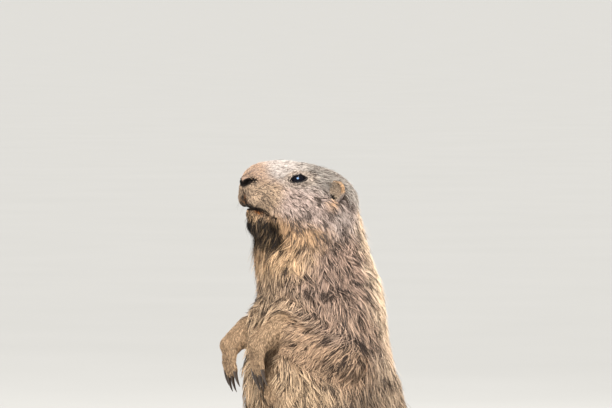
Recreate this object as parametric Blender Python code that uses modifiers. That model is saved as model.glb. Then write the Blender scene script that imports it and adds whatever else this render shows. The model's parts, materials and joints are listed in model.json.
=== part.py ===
"""Alpine marmot sitting upright on its haunches, life size, as a still museum model.

Metres, +Z up. The animal faces -Y and its left side is +X. Each named part of the body is one closed
solid, and touching parts keep a thin gap.
"""

import math

import bmesh
import bpy
import numpy as np
from mathutils import Matrix, Vector

# Gaps and mesh resolution
GAP = 0.0003
BODY_VOXEL = 0.0030
HEAD_VOXEL = 0.0013
PAW_VOXEL = 0.0012
TAIL_VOXEL = 0.0022
BODY_FACES = 2100
HEAD_FACES = 1900
HAND_FACES = 360
FOOT_FACES = 320
TAIL_FACES = 360
NOSTRIL_VOXEL = 0.0004
NOSTRIL_FACES = 120
HEAD_SMOOTHING = 5
BODY_SMOOTHING = 6
TAIL_SMOOTHING = 4
PAW_SMOOTHING = 2
NOSTRIL_SMOOTHING = 1
SKULL_STEPS = 48
JAW_STEPS = 24
HEAD_SIDES = 32
TRUNK_STEPS = 56
TRUNK_SIDES = 40
EYE_SEGMENTS = 14
EAR_SEGMENTS = 16
NOSE_SEGMENTS = 16
FINGER_SEGMENTS = 12
NOSTRIL_SEGMENTS = 10
CLAW_STEPS = 5
CUTTER_REACH = 0.5
POCKET_ROOM = 1.4 * GAP
SHARP_ANGLE = math.radians(50)

# Head, measured from the front of the nose: back along the head, up, and out to the left
NOSE_TIP = Vector((0.0, -0.095, 0.382))
HEAD_PITCH = math.radians(15.5)
HEAD_ROUNDNESS = 2.3

# Skull and muzzle: distance back, top, bottom, half width, height of the widest point
SKULL_ROWS = (
    (0.0000, 0.0050, -0.0075, 0.0070, -0.0010),
    (0.0020, 0.0105, -0.0135, 0.0120, -0.0020),
    (0.0060, 0.0155, -0.0195, 0.0155, -0.0050),
    (0.0130, 0.0203, -0.0235, 0.0185, -0.0085),
    (0.0220, 0.0243, -0.0270, 0.0215, -0.0095),
    (0.0330, 0.0275, -0.0330, 0.0272, -0.0090),
    (0.0480, 0.0300, -0.0410, 0.0352, -0.0080),
    (0.0640, 0.0312, -0.0440, 0.0400, -0.0070),
    (0.0780, 0.0315, -0.0430, 0.0418, -0.0050),
    (0.0900, 0.0290, -0.0380, 0.0395, -0.0030),
    (0.1000, 0.0235, -0.0290, 0.0330, -0.0010),
    (0.1070, 0.0155, -0.0180, 0.0225, 0.0000),
    (0.1110, 0.0055, -0.0060, 0.0090, 0.0000),
)

# Lower jaw and chin, in the same columns
JAW_ROWS = (
    (0.0085, -0.0268, -0.0300, 0.0030, -0.0285),
    (0.0105, -0.0246, -0.0345, 0.0075, -0.0290),
    (0.0150, -0.0240, -0.0395, 0.0105, -0.0310),
    (0.0220, -0.0240, -0.0440, 0.0135, -0.0330),
    (0.0320, -0.0230, -0.0470, 0.0175, -0.0320),
    (0.0450, -0.0200, -0.0475, 0.0225, -0.0300),
    (0.0600, -0.0180, -0.0450, 0.0230, -0.0290),
    (0.0740, -0.0230, -0.0380, 0.0120, -0.0300),
)

# Neck and trunk: height, middle, half depth, half width
TRUNK_ROWS = (
    (0.0000, 0.0060, 0.0330, 0.0400),
    (0.0060, 0.0060, 0.0480, 0.0560),
    (0.0160, 0.0055, 0.0600, 0.0690),
    (0.0370, 0.0040, 0.0700, 0.0800),
    (0.0720, 0.0000, 0.0780, 0.0880),
    (0.1120, -0.0050, 0.0790, 0.0900),
    (0.1520, -0.0100, 0.0750, 0.0870),
    (0.1920, -0.0150, 0.0690, 0.0800),
    (0.2340, -0.0200, 0.0625, 0.0715),
    (0.2620, -0.0175, 0.0600, 0.0660),
    (0.2880, -0.0190, 0.0575, 0.0585),
    (0.3090, -0.0245, 0.0555, 0.0515),
    (0.3240, -0.0275, 0.0535, 0.0470),
    (0.3450, -0.0265, 0.0470, 0.0420),
    (0.3620, -0.0220, 0.0330, 0.0320),
)

# Face details on the head's left side: back, up, out
CHEEK = Vector((0.056, -0.023, 0.0200))
CHEEK_RADII = (0.031, 0.022, 0.0180)
LIP_PAD = Vector((0.0105, -0.0135, 0.0085))
LIP_PAD_RADII = (0.0095, 0.0098, 0.0100)
BROW = Vector((0.0410, 0.0180, 0.0172))
BROW_RADII = (0.0150, 0.0065, 0.0060)
EYE = Vector((0.0417, 0.0115, 0.0236))
EYE_RADIUS = 0.0064
EYE_AXIS = Vector((-0.34, 0.20, 0.92))
EYE_SLANT = math.radians(18)
LID_THICKNESS = 0.0014
EYE_OPENING = (0.0056, 0.0038)
EYE_CLEARANCE = 0.006
EAR = Vector((0.0735, 0.0086, 0.0358))
EAR_RADII = (0.0092, 0.0110, 0.0064)
EAR_CUP_RADII = (0.0068, 0.0082, 0.0062)
EAR_CUP_SHIFT = Vector((-0.0016, -0.0016, 0.0046))
EAR_AXIS_TURN = math.radians(24)
NOSE_PAD = Vector((0.0036, -0.0004, 0.0))
NOSE_PAD_RADII = (0.0048, 0.0060, 0.0104)
NOSTRIL_INNER = Vector((-0.0012, -0.0022, 0.0028))
NOSTRIL_OUTER = Vector((0.0058, 0.0018, 0.0112))
NOSTRIL_RADII = (0.0013, 0.00169)
MOUTH_FRONT = Vector((-0.004, -0.0238, 0.0))
MOUTH_CORNER = Vector((0.0275, -0.0258, 0.0))
MOUTH_GAP = 0.0009
MOUTH_DEPTH = 0.0030
MOUTH_REACH = 0.030
CLEFT_WIDTH = 0.0010
CLEFT_DEPTH = 0.0045
CLEFT_TOP = -0.0085

# Forelegs: shoulder, elbow and wrist of the left one
SHOULDER = Vector((0.046, -0.020, 0.262))
ELBOW = Vector((0.066, -0.024, 0.222))
WRIST = Vector((0.0330, -0.0745, 0.2510))
FORELEG_RADII = (0.026, 0.0185, 0.0118)
PALM = Vector((0.0300, -0.0945, 0.2350))
PALM_RADII = (0.0121, 0.0118, 0.0105)
SLEEVE_SHARE = 0.16
HAND_HANG = Vector((0, 0.04, -1))
FINGER_SPREAD = (-0.0100, -0.0034, 0.0034, 0.0100)
FINGER_LENGTHS = (0.019, 0.024, 0.024, 0.019)
FINGER_RADII = (0.0046, 0.0036, 0.00324)
FINGER_ROOT_SHARE = 0.8
FINGER_ROOT_DROP = 0.004
FINGER_FAN = 12
FINGER_BEND = Vector((0, -0.0022, 0))
FINGER_BEND_SHARE = 0.55
FORE_CLAW_LENGTH = 0.015
FORE_CLAW_RADIUS = 0.0019
FORE_CLAW_SINK = 0.0012
FORE_CLAW_LIFT = Vector((0, -0.0006, 0))
FORE_CLAW_BEND = Vector((0, 0.6, 0))
RIGHT_ARM_DROP = 0.004

# Hind legs: haunch, knee, heel and toes of the left one
HAUNCH = Vector((0.064, -0.014, 0.074))
HAUNCH_RADII = (0.042, 0.062, 0.064)
KNEE = Vector((0.066, -0.060, 0.084))
THIGH_RADIUS = 0.045
KNEE_RADIUS = 0.027
SHANK_RADII = (0.024, 0.016)
HEEL = Vector((0.058, -0.010, 0.014))
INSTEP = Vector((0.066, -0.060, 0.0150))
FOOT_RADII = (0.016, 0.0150, 0.0105)
FOOT_FLARE = math.radians(7)
BALL_REACH = 0.014
BALL_DROP = 0.0045
TOE_SPREAD = (-0.0150, -0.0078, 0.0, 0.0078, 0.0148)
TOE_LENGTHS = (0.014, 0.021, 0.023, 0.021, 0.015)
TOE_RADII = (0.0066, 0.0056, 0.0050)
TOE_ROOT_SHARE = 0.8
TOE_ROOT_DROP = 0.0015
TOE_FAN = 9
TOE_ARCH = Vector((0, 0, 0.0010))
TOE_TIP_HEIGHT = 0.0045
HIND_CLAW_LENGTH = 0.011
HIND_CLAW_RADIUS = 0.0018
HIND_CLAW_STEP = 0.0012
HIND_CLAW_LIFT = Vector((0, 0, 0.0018))
HIND_CLAW_BEND = Vector((0, 0, -0.75))

# Claws: how far one bends over its length, how it narrows, and the radius left at its tip
CLAW_BEND = 0.38
CLAW_TAPER = 0.7
CLAW_TIP = 0.00025

# Tail: middle line on the floor, bent to the animal's left
TAIL_POINTS = (
    Vector((0.000, 0.058, 0.034)),
    Vector((0.004, 0.092, 0.026)),
    Vector((0.016, 0.126, 0.0225)),
    Vector((0.036, 0.158, 0.0205)),
    Vector((0.064, 0.184, 0.0170)),
    Vector((0.086, 0.197, 0.0120)),
)
TAIL_RADII = (0.021, 0.021, 0.0225, 0.0225, 0.0165, 0.0075)

# Locks of the long coat: count, length, half width and least distance between roots. Their heights over
# the surface run from the sunk root to the tip, and the trunk under them is set in.
LOCK_SEED = 7
LOCK_TRIES = 60
LOCK_HEIGHTS = (-0.0040, 0.0006, 0.0022, 0.0042)
LOCK_SHAPE = (0.70, 1.0, 0.75)
LOCK_THICKNESS = 0.26
BODY_LOCKS = (58, 0.034, 0.0085, 0.029)
HEAD_LOCKS = (13, 0.018, 0.0052, 0.012)
TAIL_LOCKS = (13, 0.036, 0.0085, 0.017)
LOCK_SIZES = (0.85, 1.15)
COAT_INSET = 0.0025

# Where the locks grow: the heights on the trunk and the head, the room round the hands, and the tail's floor
BODY_COAT = (0.055, 0.318)
HEAD_COAT = (0.329, 0.358)
HEAD_COAT_FRONT = 0.034
HAND_ROOM = 0.040
TAIL_COAT_FLOOR = 0.016

# How the coat lies: its sweep backwards on the trunk, over the haunches and over the arms
TRUNK_SWEEP = 0.12
HAUNCH_SWEEP = 0.45
HAUNCH_SIDE = 0.055
HAUNCH_TOP = 0.15
ARM_SWEEP = 0.5
ARM_SIDE = 0.04
ARM_HEIGHTS = (0.20, 0.26)
HEAD_LIE_FALL = 1.1

# Where the body is parted: a point on each cut and the direction that the cut faces
HEAD_CUT = (Vector((0, -0.030, 0.3345)), Vector((0, -0.21, 1)))
HEAD_SPARE = 0.010
NECK_CUT = (Vector((0, -0.012, 0.2860)), Vector((0, -0.21, 1)))
WAIST_CUT = (Vector((0, 0, 0.1650)), Vector((0, 0, 1)))
ARM_CUT = (Vector((0.048, -0.005, 0.24)), Vector((0.93, -0.37, 0)))
ARM_TOP_CUT = (Vector((0.06, 0, 0.2600)), Vector((0.20, 0, 1)))
ARM_BOTTOM_CUT = (Vector((0.06, 0, 0.2010)), Vector((0, 0, 1)))
THIGH_CUT = (Vector((0.050, 0, 0.07)), Vector((1, 0, 0)))
THIGH_TOP_CUT = (Vector((0.07, 0, 0.1440)), Vector((0, 0, 1)))
FORELEG_SHARE = 0.86
WRIST_CUT_SHARE = 0.93
TAIL_MIDDLE_CUT = (Vector((0.0225, 0.140, 0)), Vector((0.50, 0.86, 0)))

# Finishes: base colour, roughness
FINISHES = {
    "coat_head": ((0.40, 0.34, 0.29), 0.9),
    "coat_body": ((0.36, 0.27, 0.19), 0.9),
    "coat_paw": ((0.46, 0.34, 0.22), 0.9),
    "coat_tail": ((0.22, 0.15, 0.10), 0.9),
    "ear_skin": ((0.50, 0.34, 0.22), 0.8),
    "eye": ((0.012, 0.009, 0.008), 0.08),
    "nose": ((0.03, 0.025, 0.024), 0.45),
    "claw": ((0.06, 0.045, 0.035), 0.4),
}


def clear_scene():
    for obj in list(bpy.data.objects):
        bpy.data.objects.remove(obj, do_unlink=True)


def collection(name):
    made = bpy.data.collections.new(name)
    bpy.context.scene.collection.children.link(made)
    return made


def add(name, mesh, home):
    obj = bpy.data.objects.new(name, mesh)
    home.objects.link(obj)
    return obj


def from_bmesh(name, shape, home):
    bmesh.ops.recalc_face_normals(shape, faces=shape.faces)
    mesh = bpy.data.meshes.new(name)
    shape.to_mesh(mesh)
    shape.free()
    return add(name, mesh, home)


def evaluated_copy(obj, name, home):
    """A plain mesh object with obj's modifiers applied; obj is removed."""
    bpy.context.view_layer.update()
    graph = bpy.context.evaluated_depsgraph_get()
    mesh = bpy.data.meshes.new_from_object(obj.evaluated_get(graph))
    mesh.transform(obj.matrix_world)
    bpy.data.objects.remove(obj, do_unlink=True)
    made = add(name, mesh, home)
    made.data.name = name
    return made


def ease(keys, values, at):
    """Values read from a table along a smooth curve through its rows."""
    keys = np.asarray(keys, float)
    values = np.asarray(values, float)
    slopes = np.gradient(values, keys, axis=0)
    row = np.clip(np.searchsorted(keys, at) - 1, 0, len(keys) - 2)
    span = (keys[row + 1] - keys[row])[:, None]
    t = (at - keys[row])[:, None] / span
    start = (1 + 2 * t) * (1 - t) ** 2
    end = t * t * (3 - 2 * t)
    leave = t * (1 - t) ** 2 * span
    arrive = t * t * (t - 1) * span
    return start * values[row] + end * values[row + 1] + leave * slopes[row] + arrive * slopes[row + 1]


def loft(name, rings, home):
    """A closed skin over rings of equally many points, with a fan at each end."""
    shape = bmesh.new()
    loops = [[shape.verts.new(p) for p in ring] for ring in rings]
    count = len(rings[0])
    for lower, upper in zip(loops, loops[1:]):
        for i in range(count):
            j = (i + 1) % count
            shape.faces.new((lower[i], lower[j], upper[j], upper[i]))
    for ring, loop in ((rings[0], loops[0]), (rings[-1], loops[-1])):
        middle = shape.verts.new(sum((Vector(p) for p in ring), Vector()) / count)
        for i in range(count):
            shape.faces.new((loop[i], loop[(i + 1) % count], middle))
    return from_bmesh(name, shape, home)


def box(name, centre, size, turn, home):
    """A box with its three sizes along the columns of turn."""
    shape = bmesh.new()
    bmesh.ops.create_cube(shape, size=1)
    scale = Matrix.Diagonal((*size, 1))
    bmesh.ops.transform(shape, matrix=Matrix.Translation(centre) @ turn.to_4x4() @ scale, verts=shape.verts)
    return from_bmesh(name, shape, home)


def ellipsoid(name, centre, radii, turn, home, segments=24):
    """An ellipsoid with its three radii along the columns of turn."""
    shape = bmesh.new()
    bmesh.ops.create_uvsphere(shape, u_segments=segments, v_segments=segments // 2, radius=1)
    scale = Matrix.Diagonal((*radii, 1))
    bmesh.ops.transform(shape, matrix=Matrix.Translation(centre) @ turn.to_4x4() @ scale, verts=shape.verts)
    return from_bmesh(name, shape, home)


def limb(name, points, radii, home, segments=16):
    """Balls at the points with cones between them, for fusing later."""
    shape = bmesh.new()
    for point, radius in zip(points, radii):
        made = bmesh.ops.create_uvsphere(shape, u_segments=segments, v_segments=segments // 2, radius=radius)
        bmesh.ops.translate(shape, vec=point, verts=made["verts"])
    for start, end, near, far in zip(points, points[1:], radii, radii[1:]):
        span = end - start
        place = Matrix.Translation((start + end) / 2) @ span.to_track_quat("Z", "Y").to_matrix().to_4x4()
        bmesh.ops.create_cone(
            shape, cap_ends=True, segments=segments, radius1=near, radius2=far, depth=span.length, matrix=place
        )
    return from_bmesh(name, shape, home)


def fuse(name, pieces, voxel, rounds, home):
    """One closed organic surface round overlapping pieces, with its creases smoothed."""
    joined = bmesh.new()
    for piece in pieces:
        bpy.context.view_layer.update()
        data = piece.data.copy()
        data.transform(piece.matrix_world)
        joined.from_mesh(data)
        bpy.data.meshes.remove(data)
        bpy.data.objects.remove(piece, do_unlink=True)
    mesh = bpy.data.meshes.new(name)
    joined.to_mesh(mesh)
    joined.free()
    obj = add(name, mesh, home)
    remesh = obj.modifiers.new("fuse", "REMESH")
    remesh.mode = "VOXEL"
    remesh.voxel_size = voxel
    smooth = obj.modifiers.new("soften", "SMOOTH")
    smooth.factor = 0.5
    smooth.iterations = rounds
    return evaluated_copy(obj, name, home)


def thinned(source, name, faces, home):
    """A copy of source with about that many triangles."""
    obj = add(name, source.data.copy(), home)
    obj.data.calc_loop_triangles()
    decimate = obj.modifiers.new("thin", "DECIMATE")
    decimate.ratio = min(1.0, faces / len(obj.data.loop_triangles))
    decimate.use_collapse_triangulate = True
    return evaluated_copy(obj, name, home)


def boolean(obj, other, operation, solver="EXACT"):
    """obj changed by other, at once."""
    step = obj.modifiers.new(operation.lower(), "BOOLEAN")
    step.operation = operation
    step.object = other
    step.solver = solver
    name, home = obj.name, obj.users_collection[0]
    obj.name = name + "_before"
    return evaluated_copy(obj, name, home)


def half_space(name, cut, side, home, inset=GAP / 2):
    """A large block on one side of a cut, set back from it by half the gap."""
    point, facing = cut
    facing = facing.normalized() * side
    shape = bmesh.new()
    bmesh.ops.create_cube(shape, size=2 * CUTTER_REACH)
    turn = facing.to_track_quat("Z", "Y").to_matrix().to_4x4()
    centre = point + facing * (CUTTER_REACH + inset)
    bmesh.ops.transform(shape, matrix=Matrix.Translation(centre) @ turn, verts=shape.verts)
    return from_bmesh(name, shape, home)


def block(name, cuts, cutters, inset=GAP / 2):
    """The convex block that lies on the given side of every cut."""
    made = half_space(name, cuts[0][0], cuts[0][1], cutters, inset)
    for number, (cut, side) in enumerate(cuts[1:]):
        other = half_space(f"{name}_side_{number}", cut, side, cutters, inset)
        made = boolean(made, other, "INTERSECT")
        bpy.data.objects.remove(other, do_unlink=True)
    return made


def clipped(source, name, cuts, home, cutters):
    """The part of source on the given side of every cut."""
    obj = add(name, source.data.copy(), home)
    region = block(name + "_region", cuts, cutters)
    obj = boolean(obj, region, "INTERSECT")
    bpy.data.objects.remove(region, do_unlink=True)
    return obj


def without(obj, cutter):
    """obj with the cutter's room taken out of it; the cutter is used up."""
    obj = boolean(obj, cutter, "DIFFERENCE")
    bpy.data.objects.remove(cutter, do_unlink=True)
    return obj


def grown(source, amount, cutters):
    """A copy of source pushed out along its normals, which cuts the pocket that source sits in."""
    obj = add(source.name + "_pocket", source.data.copy(), cutters)
    push = obj.modifiers.new("grow", "DISPLACE")
    push.strength = amount
    push.mid_level = 0
    return evaluated_copy(obj, source.name + "_pocket", cutters)


def seated(parent, child, cutters):
    """parent with a pocket cut for child."""
    return without(parent, grown(child, POCKET_ROOM, cutters))


def mirrored(cut):
    point, facing = cut
    return Vector((-point.x, point.y, point.z)), Vector((-facing.x, facing.y, facing.z))


def largest(obj):
    """obj with everything but its largest closed surface removed."""
    shape = bmesh.new()
    shape.from_mesh(obj.data)
    unseen = set(shape.faces)
    shells = []
    while unseen:
        edge_front = [unseen.pop()]
        shell = []
        while edge_front:
            face = edge_front.pop()
            shell.append(face)
            for edge in face.edges:
                for other in edge.link_faces:
                    if other in unseen:
                        unseen.remove(other)
                        edge_front.append(other)
        shells.append(shell)
    shells.sort(key=lambda faces: sum(f.calc_area() for f in faces))
    for shell in shells[:-1]:
        bmesh.ops.delete(shape, geom=shell, context="FACES")
    bmesh.ops.delete(shape, geom=[v for v in shape.verts if not v.link_faces], context="VERTS")
    shape.to_mesh(obj.data)
    shape.free()
    return obj


def on_head(local):
    """A point given as back, up and out on the head, in the model's frame."""
    back = Vector((0, math.cos(HEAD_PITCH), -math.sin(HEAD_PITCH)))
    up = Vector((0, math.sin(HEAD_PITCH), math.cos(HEAD_PITCH)))
    return NOSE_TIP + back * local[0] + up * local[1] + Vector((1, 0, 0)) * local[2]


def head_turn():
    """The matrix whose columns are the head's back, up and out directions."""
    back = on_head((1, 0, 0)) - on_head((0, 0, 0))
    up = on_head((0, 1, 0)) - on_head((0, 0, 0))
    return Matrix((back, up, Vector((1, 0, 0)))).transposed()


def flipped(vector, side):
    return Vector((vector[0], vector[1], vector[2] * side))


def head_loft(name, rows, steps, home):
    """Rounded sections across the head, read from a table of rows."""
    rows = np.array(rows)
    at = np.linspace(rows[0, 0], rows[-1, 0], steps)
    angles = np.linspace(0, 2 * math.pi, HEAD_SIDES, endpoint=False)
    power = 2 / HEAD_ROUNDNESS
    rings = []
    for back, (top, bottom, width, widest) in zip(at, ease(rows[:, 0], rows[:, 1:], at)):
        ring = []
        for angle in angles:
            rise = abs(math.sin(angle)) ** power
            out = width * math.copysign(abs(math.cos(angle)) ** power, math.cos(angle))
            up = widest + (top - widest) * rise if math.sin(angle) >= 0 else widest - (widest - bottom) * rise
            ring.append(on_head((back, up, out)))
        rings.append(ring)
    return loft(name, rings, home)


def trunk_loft(name, home):
    """Level oval sections from the rump to inside the head."""
    rows = np.array(TRUNK_ROWS)
    at = np.linspace(rows[0, 0], rows[-1, 0], TRUNK_STEPS)
    angles = np.linspace(0, 2 * math.pi, TRUNK_SIDES, endpoint=False)
    rings = []
    for height, (middle, depth, width) in zip(at, ease(rows[:, 0], rows[:, 1:], at)):
        across, along = width - COAT_INSET, depth - COAT_INSET
        rings.append([(across * math.cos(a), middle + along * math.sin(a), height) for a in angles])
    return loft(name, rings, home)


def side_point(point, side, drop=0.0):
    """A left-side point, or its twin on the right; drop lowers it."""
    return Vector((point.x * side, point.y, point.z - drop))


def arm_drop(side):
    return RIGHT_ARM_DROP if side < 0 else 0.0


def head_pieces(home):
    """What the head is fused from."""
    turn = head_turn()
    pieces = [head_loft("skull", SKULL_ROWS, SKULL_STEPS, home), head_loft("jaw", JAW_ROWS, JAW_STEPS, home)]
    for side in (1, -1):
        pieces.append(ellipsoid("cheek", on_head(flipped(CHEEK, side)), CHEEK_RADII, turn, home))
        pieces.append(ellipsoid("lip_pad", on_head(flipped(LIP_PAD, side)), LIP_PAD_RADII, turn, home))
        pieces.append(ellipsoid("brow", on_head(flipped(BROW, side)), BROW_RADII, turn, home))
    return pieces


def body_pieces(home):
    """What the trunk and the upper limbs are fused from."""
    pieces = [trunk_loft("trunk", home)]
    for side in (1, -1):
        drop = arm_drop(side)
        ends = (SHOULDER, ELBOW, ELBOW.lerp(WRIST, FORELEG_SHARE))
        joints = [side_point(p, side, drop) for p in ends]
        pieces.append(limb("arm", joints, FORELEG_RADII, home))
        haunch = side_point(HAUNCH, side)
        pieces.append(ellipsoid("haunch", haunch, HAUNCH_RADII, Matrix.Identity(3), home))
        knee = side_point(KNEE, side)
        pieces.append(limb("thigh", [haunch, knee], (THIGH_RADIUS, KNEE_RADIUS), home))
        pieces.append(limb("shank", [knee, side_point(HEEL, side)], SHANK_RADII, home))
    return pieces


def trunk_lie(point):
    """The coat hangs down the trunk and sweeps back over the haunches and the arms."""
    sweep = HAUNCH_SWEEP if abs(point.x) > HAUNCH_SIDE and point.z < HAUNCH_TOP else TRUNK_SWEEP
    if abs(point.x) > ARM_SIDE and ARM_HEIGHTS[0] < point.z < ARM_HEIGHTS[1]:
        sweep = ARM_SWEEP
    return Vector((math.copysign(TRUNK_SWEEP, point.x), sweep, -1))


def head_lie(point):
    """The coat of the cheeks and throat runs back and down."""
    back = on_head((1, 0, 0)) - on_head((0, 0, 0))
    return back + Vector((0, 0, -HEAD_LIE_FALL))


def tail_lie(point):
    """The coat of the tail runs to its tip."""
    ends = min(zip(TAIL_POINTS, TAIL_POINTS[1:]), key=lambda pair: ((pair[0] + pair[1]) / 2 - point).length)
    return ends[1] - ends[0]


def coat_of_body(point):
    """Where the trunk carries locks: clear of the hands, the feet, the floor and the head's inside."""
    hands = any((point - side_point(PALM, side)).length < HAND_ROOM for side in (1, -1))
    return BODY_COAT[0] < point.z < BODY_COAT[1] and not hands


def coat_of_head(point):
    """The ruff under the cheeks and the throat."""
    return HEAD_COAT[0] < point.z < HEAD_COAT[1] and point.y > on_head((HEAD_COAT_FRONT, 0, 0)).y


def coat_of_tail(point):
    return point.z > TAIL_COAT_FLOOR and point.y > TAIL_POINTS[1].y


def lock(name, surface, root, lie_at, length, half_width, home):
    """A flat tapering lock that starts inside the surface, follows it and stands off at its tip."""
    shape = bmesh.new()
    rings = []
    place = root
    for step, height in enumerate(LOCK_HEIGHTS):
        found, place, normal, face = surface.closest_point_on_mesh(place)
        lie = lie_at(place)
        lie = (lie - normal * lie.dot(normal)).normalized()
        middle = place + normal * height
        if step == len(LOCK_SHAPE):
            tip = shape.verts.new(middle)
            break
        across = normal.cross(lie) * (half_width * LOCK_SHAPE[step])
        thick = normal * (half_width * LOCK_SHAPE[step] * LOCK_THICKNESS)
        rings.append([shape.verts.new(middle + offset) for offset in (across, thick, -across, -thick)])
        place = place + lie * (length / len(LOCK_SHAPE))
    shape.faces.new(rings[0])
    for lower, upper in zip(rings, rings[1:]):
        for i in range(4):
            j = (i + 1) % 4
            shape.faces.new((lower[i], lower[j], upper[j], upper[i]))
    for i in range(4):
        shape.faces.new((rings[-1][i], rings[-1][(i + 1) % 4], tip))
    return from_bmesh(name, shape, home)


def coated(surface, wanted, lie_at, allowed, seed):
    """surface with seeded, evenly spread locks joined on by one union."""
    count, length, half_width, spacing = wanted
    chance = np.random.default_rng(seed)
    mesh = surface.data
    mesh.calc_loop_triangles()
    corners = np.array([[mesh.vertices[v].co for v in face.vertices] for face in mesh.loop_triangles])
    areas = np.linalg.norm(np.cross(corners[:, 1] - corners[:, 0], corners[:, 2] - corners[:, 0]), axis=1)
    locks = collection("locks")
    roots = []
    for face in chance.choice(len(areas), LOCK_TRIES * count, p=areas / areas.sum()):
        weights = chance.dirichlet((1, 1, 1))
        root = Vector(weights @ corners[face])
        spaced = all((root - other).length > spacing for other in roots)
        if spaced and allowed(root) and len(roots) < count:
            size = chance.uniform(*LOCK_SIZES)
            lock(f"lock_{len(roots)}", surface, root, lie_at, length * size, half_width * size, locks)
            roots.append(root)
    union = surface.modifiers.new("union", "BOOLEAN")
    union.operation = "UNION"
    union.operand_type = "COLLECTION"
    union.collection = locks
    union.solver = "MANIFOLD"
    name, home = surface.name, surface.users_collection[0]
    surface.name = name + "_bare"
    made = evaluated_copy(surface, name, home)
    for helper in list(locks.objects):
        bpy.data.objects.remove(helper, do_unlink=True)
    bpy.data.collections.remove(locks)
    return largest(made)


def eye_frame(side):
    """Across the eye from corner to corner, over it, and out along its axis."""
    turn = head_turn()
    out = (turn @ flipped(EYE_AXIS, side)).normalized()
    across = turn @ Vector((math.cos(EYE_SLANT), math.sin(EYE_SLANT), 0))
    across = (across - out * across.dot(out)).normalized()
    return Matrix((across, out.cross(across), out)).transposed()


def lid_pieces(home):
    """Round lids that stand a little proud of the head."""
    radii = (EYE_RADIUS + LID_THICKNESS,) * 3
    level = Matrix.Identity(3)
    return [ellipsoid("lids", on_head(flipped(EYE, side)), radii, level, home) for side in (1, -1)]


def open_eye(head, side, cutters):
    """The socket behind the lids, and the almond opening between them."""
    centre = on_head(flipped(EYE, side))
    socket = ellipsoid("socket", centre, (EYE_RADIUS + GAP,) * 3, Matrix.Identity(3), cutters, EYE_SEGMENTS)
    frame = eye_frame(side)
    reach = EYE_RADIUS + EYE_CLEARANCE
    middle = centre + frame @ Vector((0, 0, reach))
    opening = ellipsoid("opening", middle, (*EYE_OPENING, reach), frame, cutters, EYE_SEGMENTS)
    for cutter in (socket, opening):
        head = boolean(head, cutter, "DIFFERENCE")
        bpy.data.objects.remove(cutter, do_unlink=True)
    return head


def open_mouth(head, cutters):
    """The line of the mouth round the front of the muzzle, and the cleft of the upper lip."""
    core = grown(head, -MOUTH_DEPTH, cutters)
    direction = on_head(MOUTH_CORNER) - on_head(MOUTH_FRONT)
    level = direction.to_track_quat("Y", "Z").to_matrix()
    band_size = (2 * MOUTH_REACH, direction.length, MOUTH_GAP)
    line = box("mouth_line", on_head((MOUTH_FRONT + MOUTH_CORNER) / 2), band_size, level, cutters)
    line = without(line, core)
    cleft_size = (CLEFT_DEPTH * 2, CLEFT_TOP - MOUTH_FRONT.y, CLEFT_WIDTH)
    cleft_middle = on_head((0, (CLEFT_TOP + MOUTH_FRONT.y) / 2, 0))
    cleft = box("lip_cleft", cleft_middle, cleft_size, head_turn(), cutters)
    return without(without(head, line), cleft)


def make_eye(side, label, home):
    centre = on_head(flipped(EYE, side))
    return ellipsoid(f"eye_{label}", centre, (EYE_RADIUS,) * 3, eye_frame(side), home, EYE_SEGMENTS)


def widened(radii, amount=GAP):
    return tuple(radius + amount for radius in radii)


def make_nose(home, cutters):
    """The nose pad with its two slanting nostrils, and the pocket that it sits in."""
    turn = head_turn()
    room = widened(NOSE_PAD_RADII)
    pad = ellipsoid("nose_blank", on_head(NOSE_PAD), NOSE_PAD_RADII, turn, home, NOSE_SEGMENTS)
    pocket = ellipsoid("nose_pocket", on_head(NOSE_PAD), room, turn, cutters, NOSE_SEGMENTS)
    for side in (1, -1):
        ends = [on_head(flipped(NOSTRIL_INNER, side)), on_head(flipped(NOSTRIL_OUTER, side))]
        bore = limb("nostril", ends, NOSTRIL_RADII, cutters, NOSTRIL_SEGMENTS)
        bore = fuse("nostril", [bore], NOSTRIL_VOXEL, NOSTRIL_SMOOTHING, cutters)
        bore = thinned(bore, "nostril_cutter", NOSTRIL_FACES, cutters)
        pad = boolean(pad, bore, "DIFFERENCE")
        for cutter in [o for o in cutters.objects if o.name.startswith("nostril")]:
            bpy.data.objects.remove(cutter, do_unlink=True)
    pad.name = "nose"
    return pad, pocket


def make_ear(side, label, home, cutters):
    """A short rounded ear, hollowed on its outer side, and the pocket that it sits in."""
    turn = head_turn() @ Matrix.Rotation(-EAR_AXIS_TURN * side, 3, "Y")
    centre = on_head(flipped(EAR, side))
    ear = ellipsoid("ear_blank", centre, EAR_RADII, turn, home, EAR_SEGMENTS)
    pocket = ellipsoid("ear_pocket", centre, widened(EAR_RADII), turn, cutters, EAR_SEGMENTS)
    hollow = centre + turn @ flipped(EAR_CUP_SHIFT, side)
    cup = ellipsoid("ear_cup", hollow, EAR_CUP_RADII, turn, cutters, EAR_SEGMENTS)
    ear = boolean(ear, cup, "DIFFERENCE")
    bpy.data.objects.remove(cup, do_unlink=True)
    ear.name = f"ear_{label}"
    return ear, pocket


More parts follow.
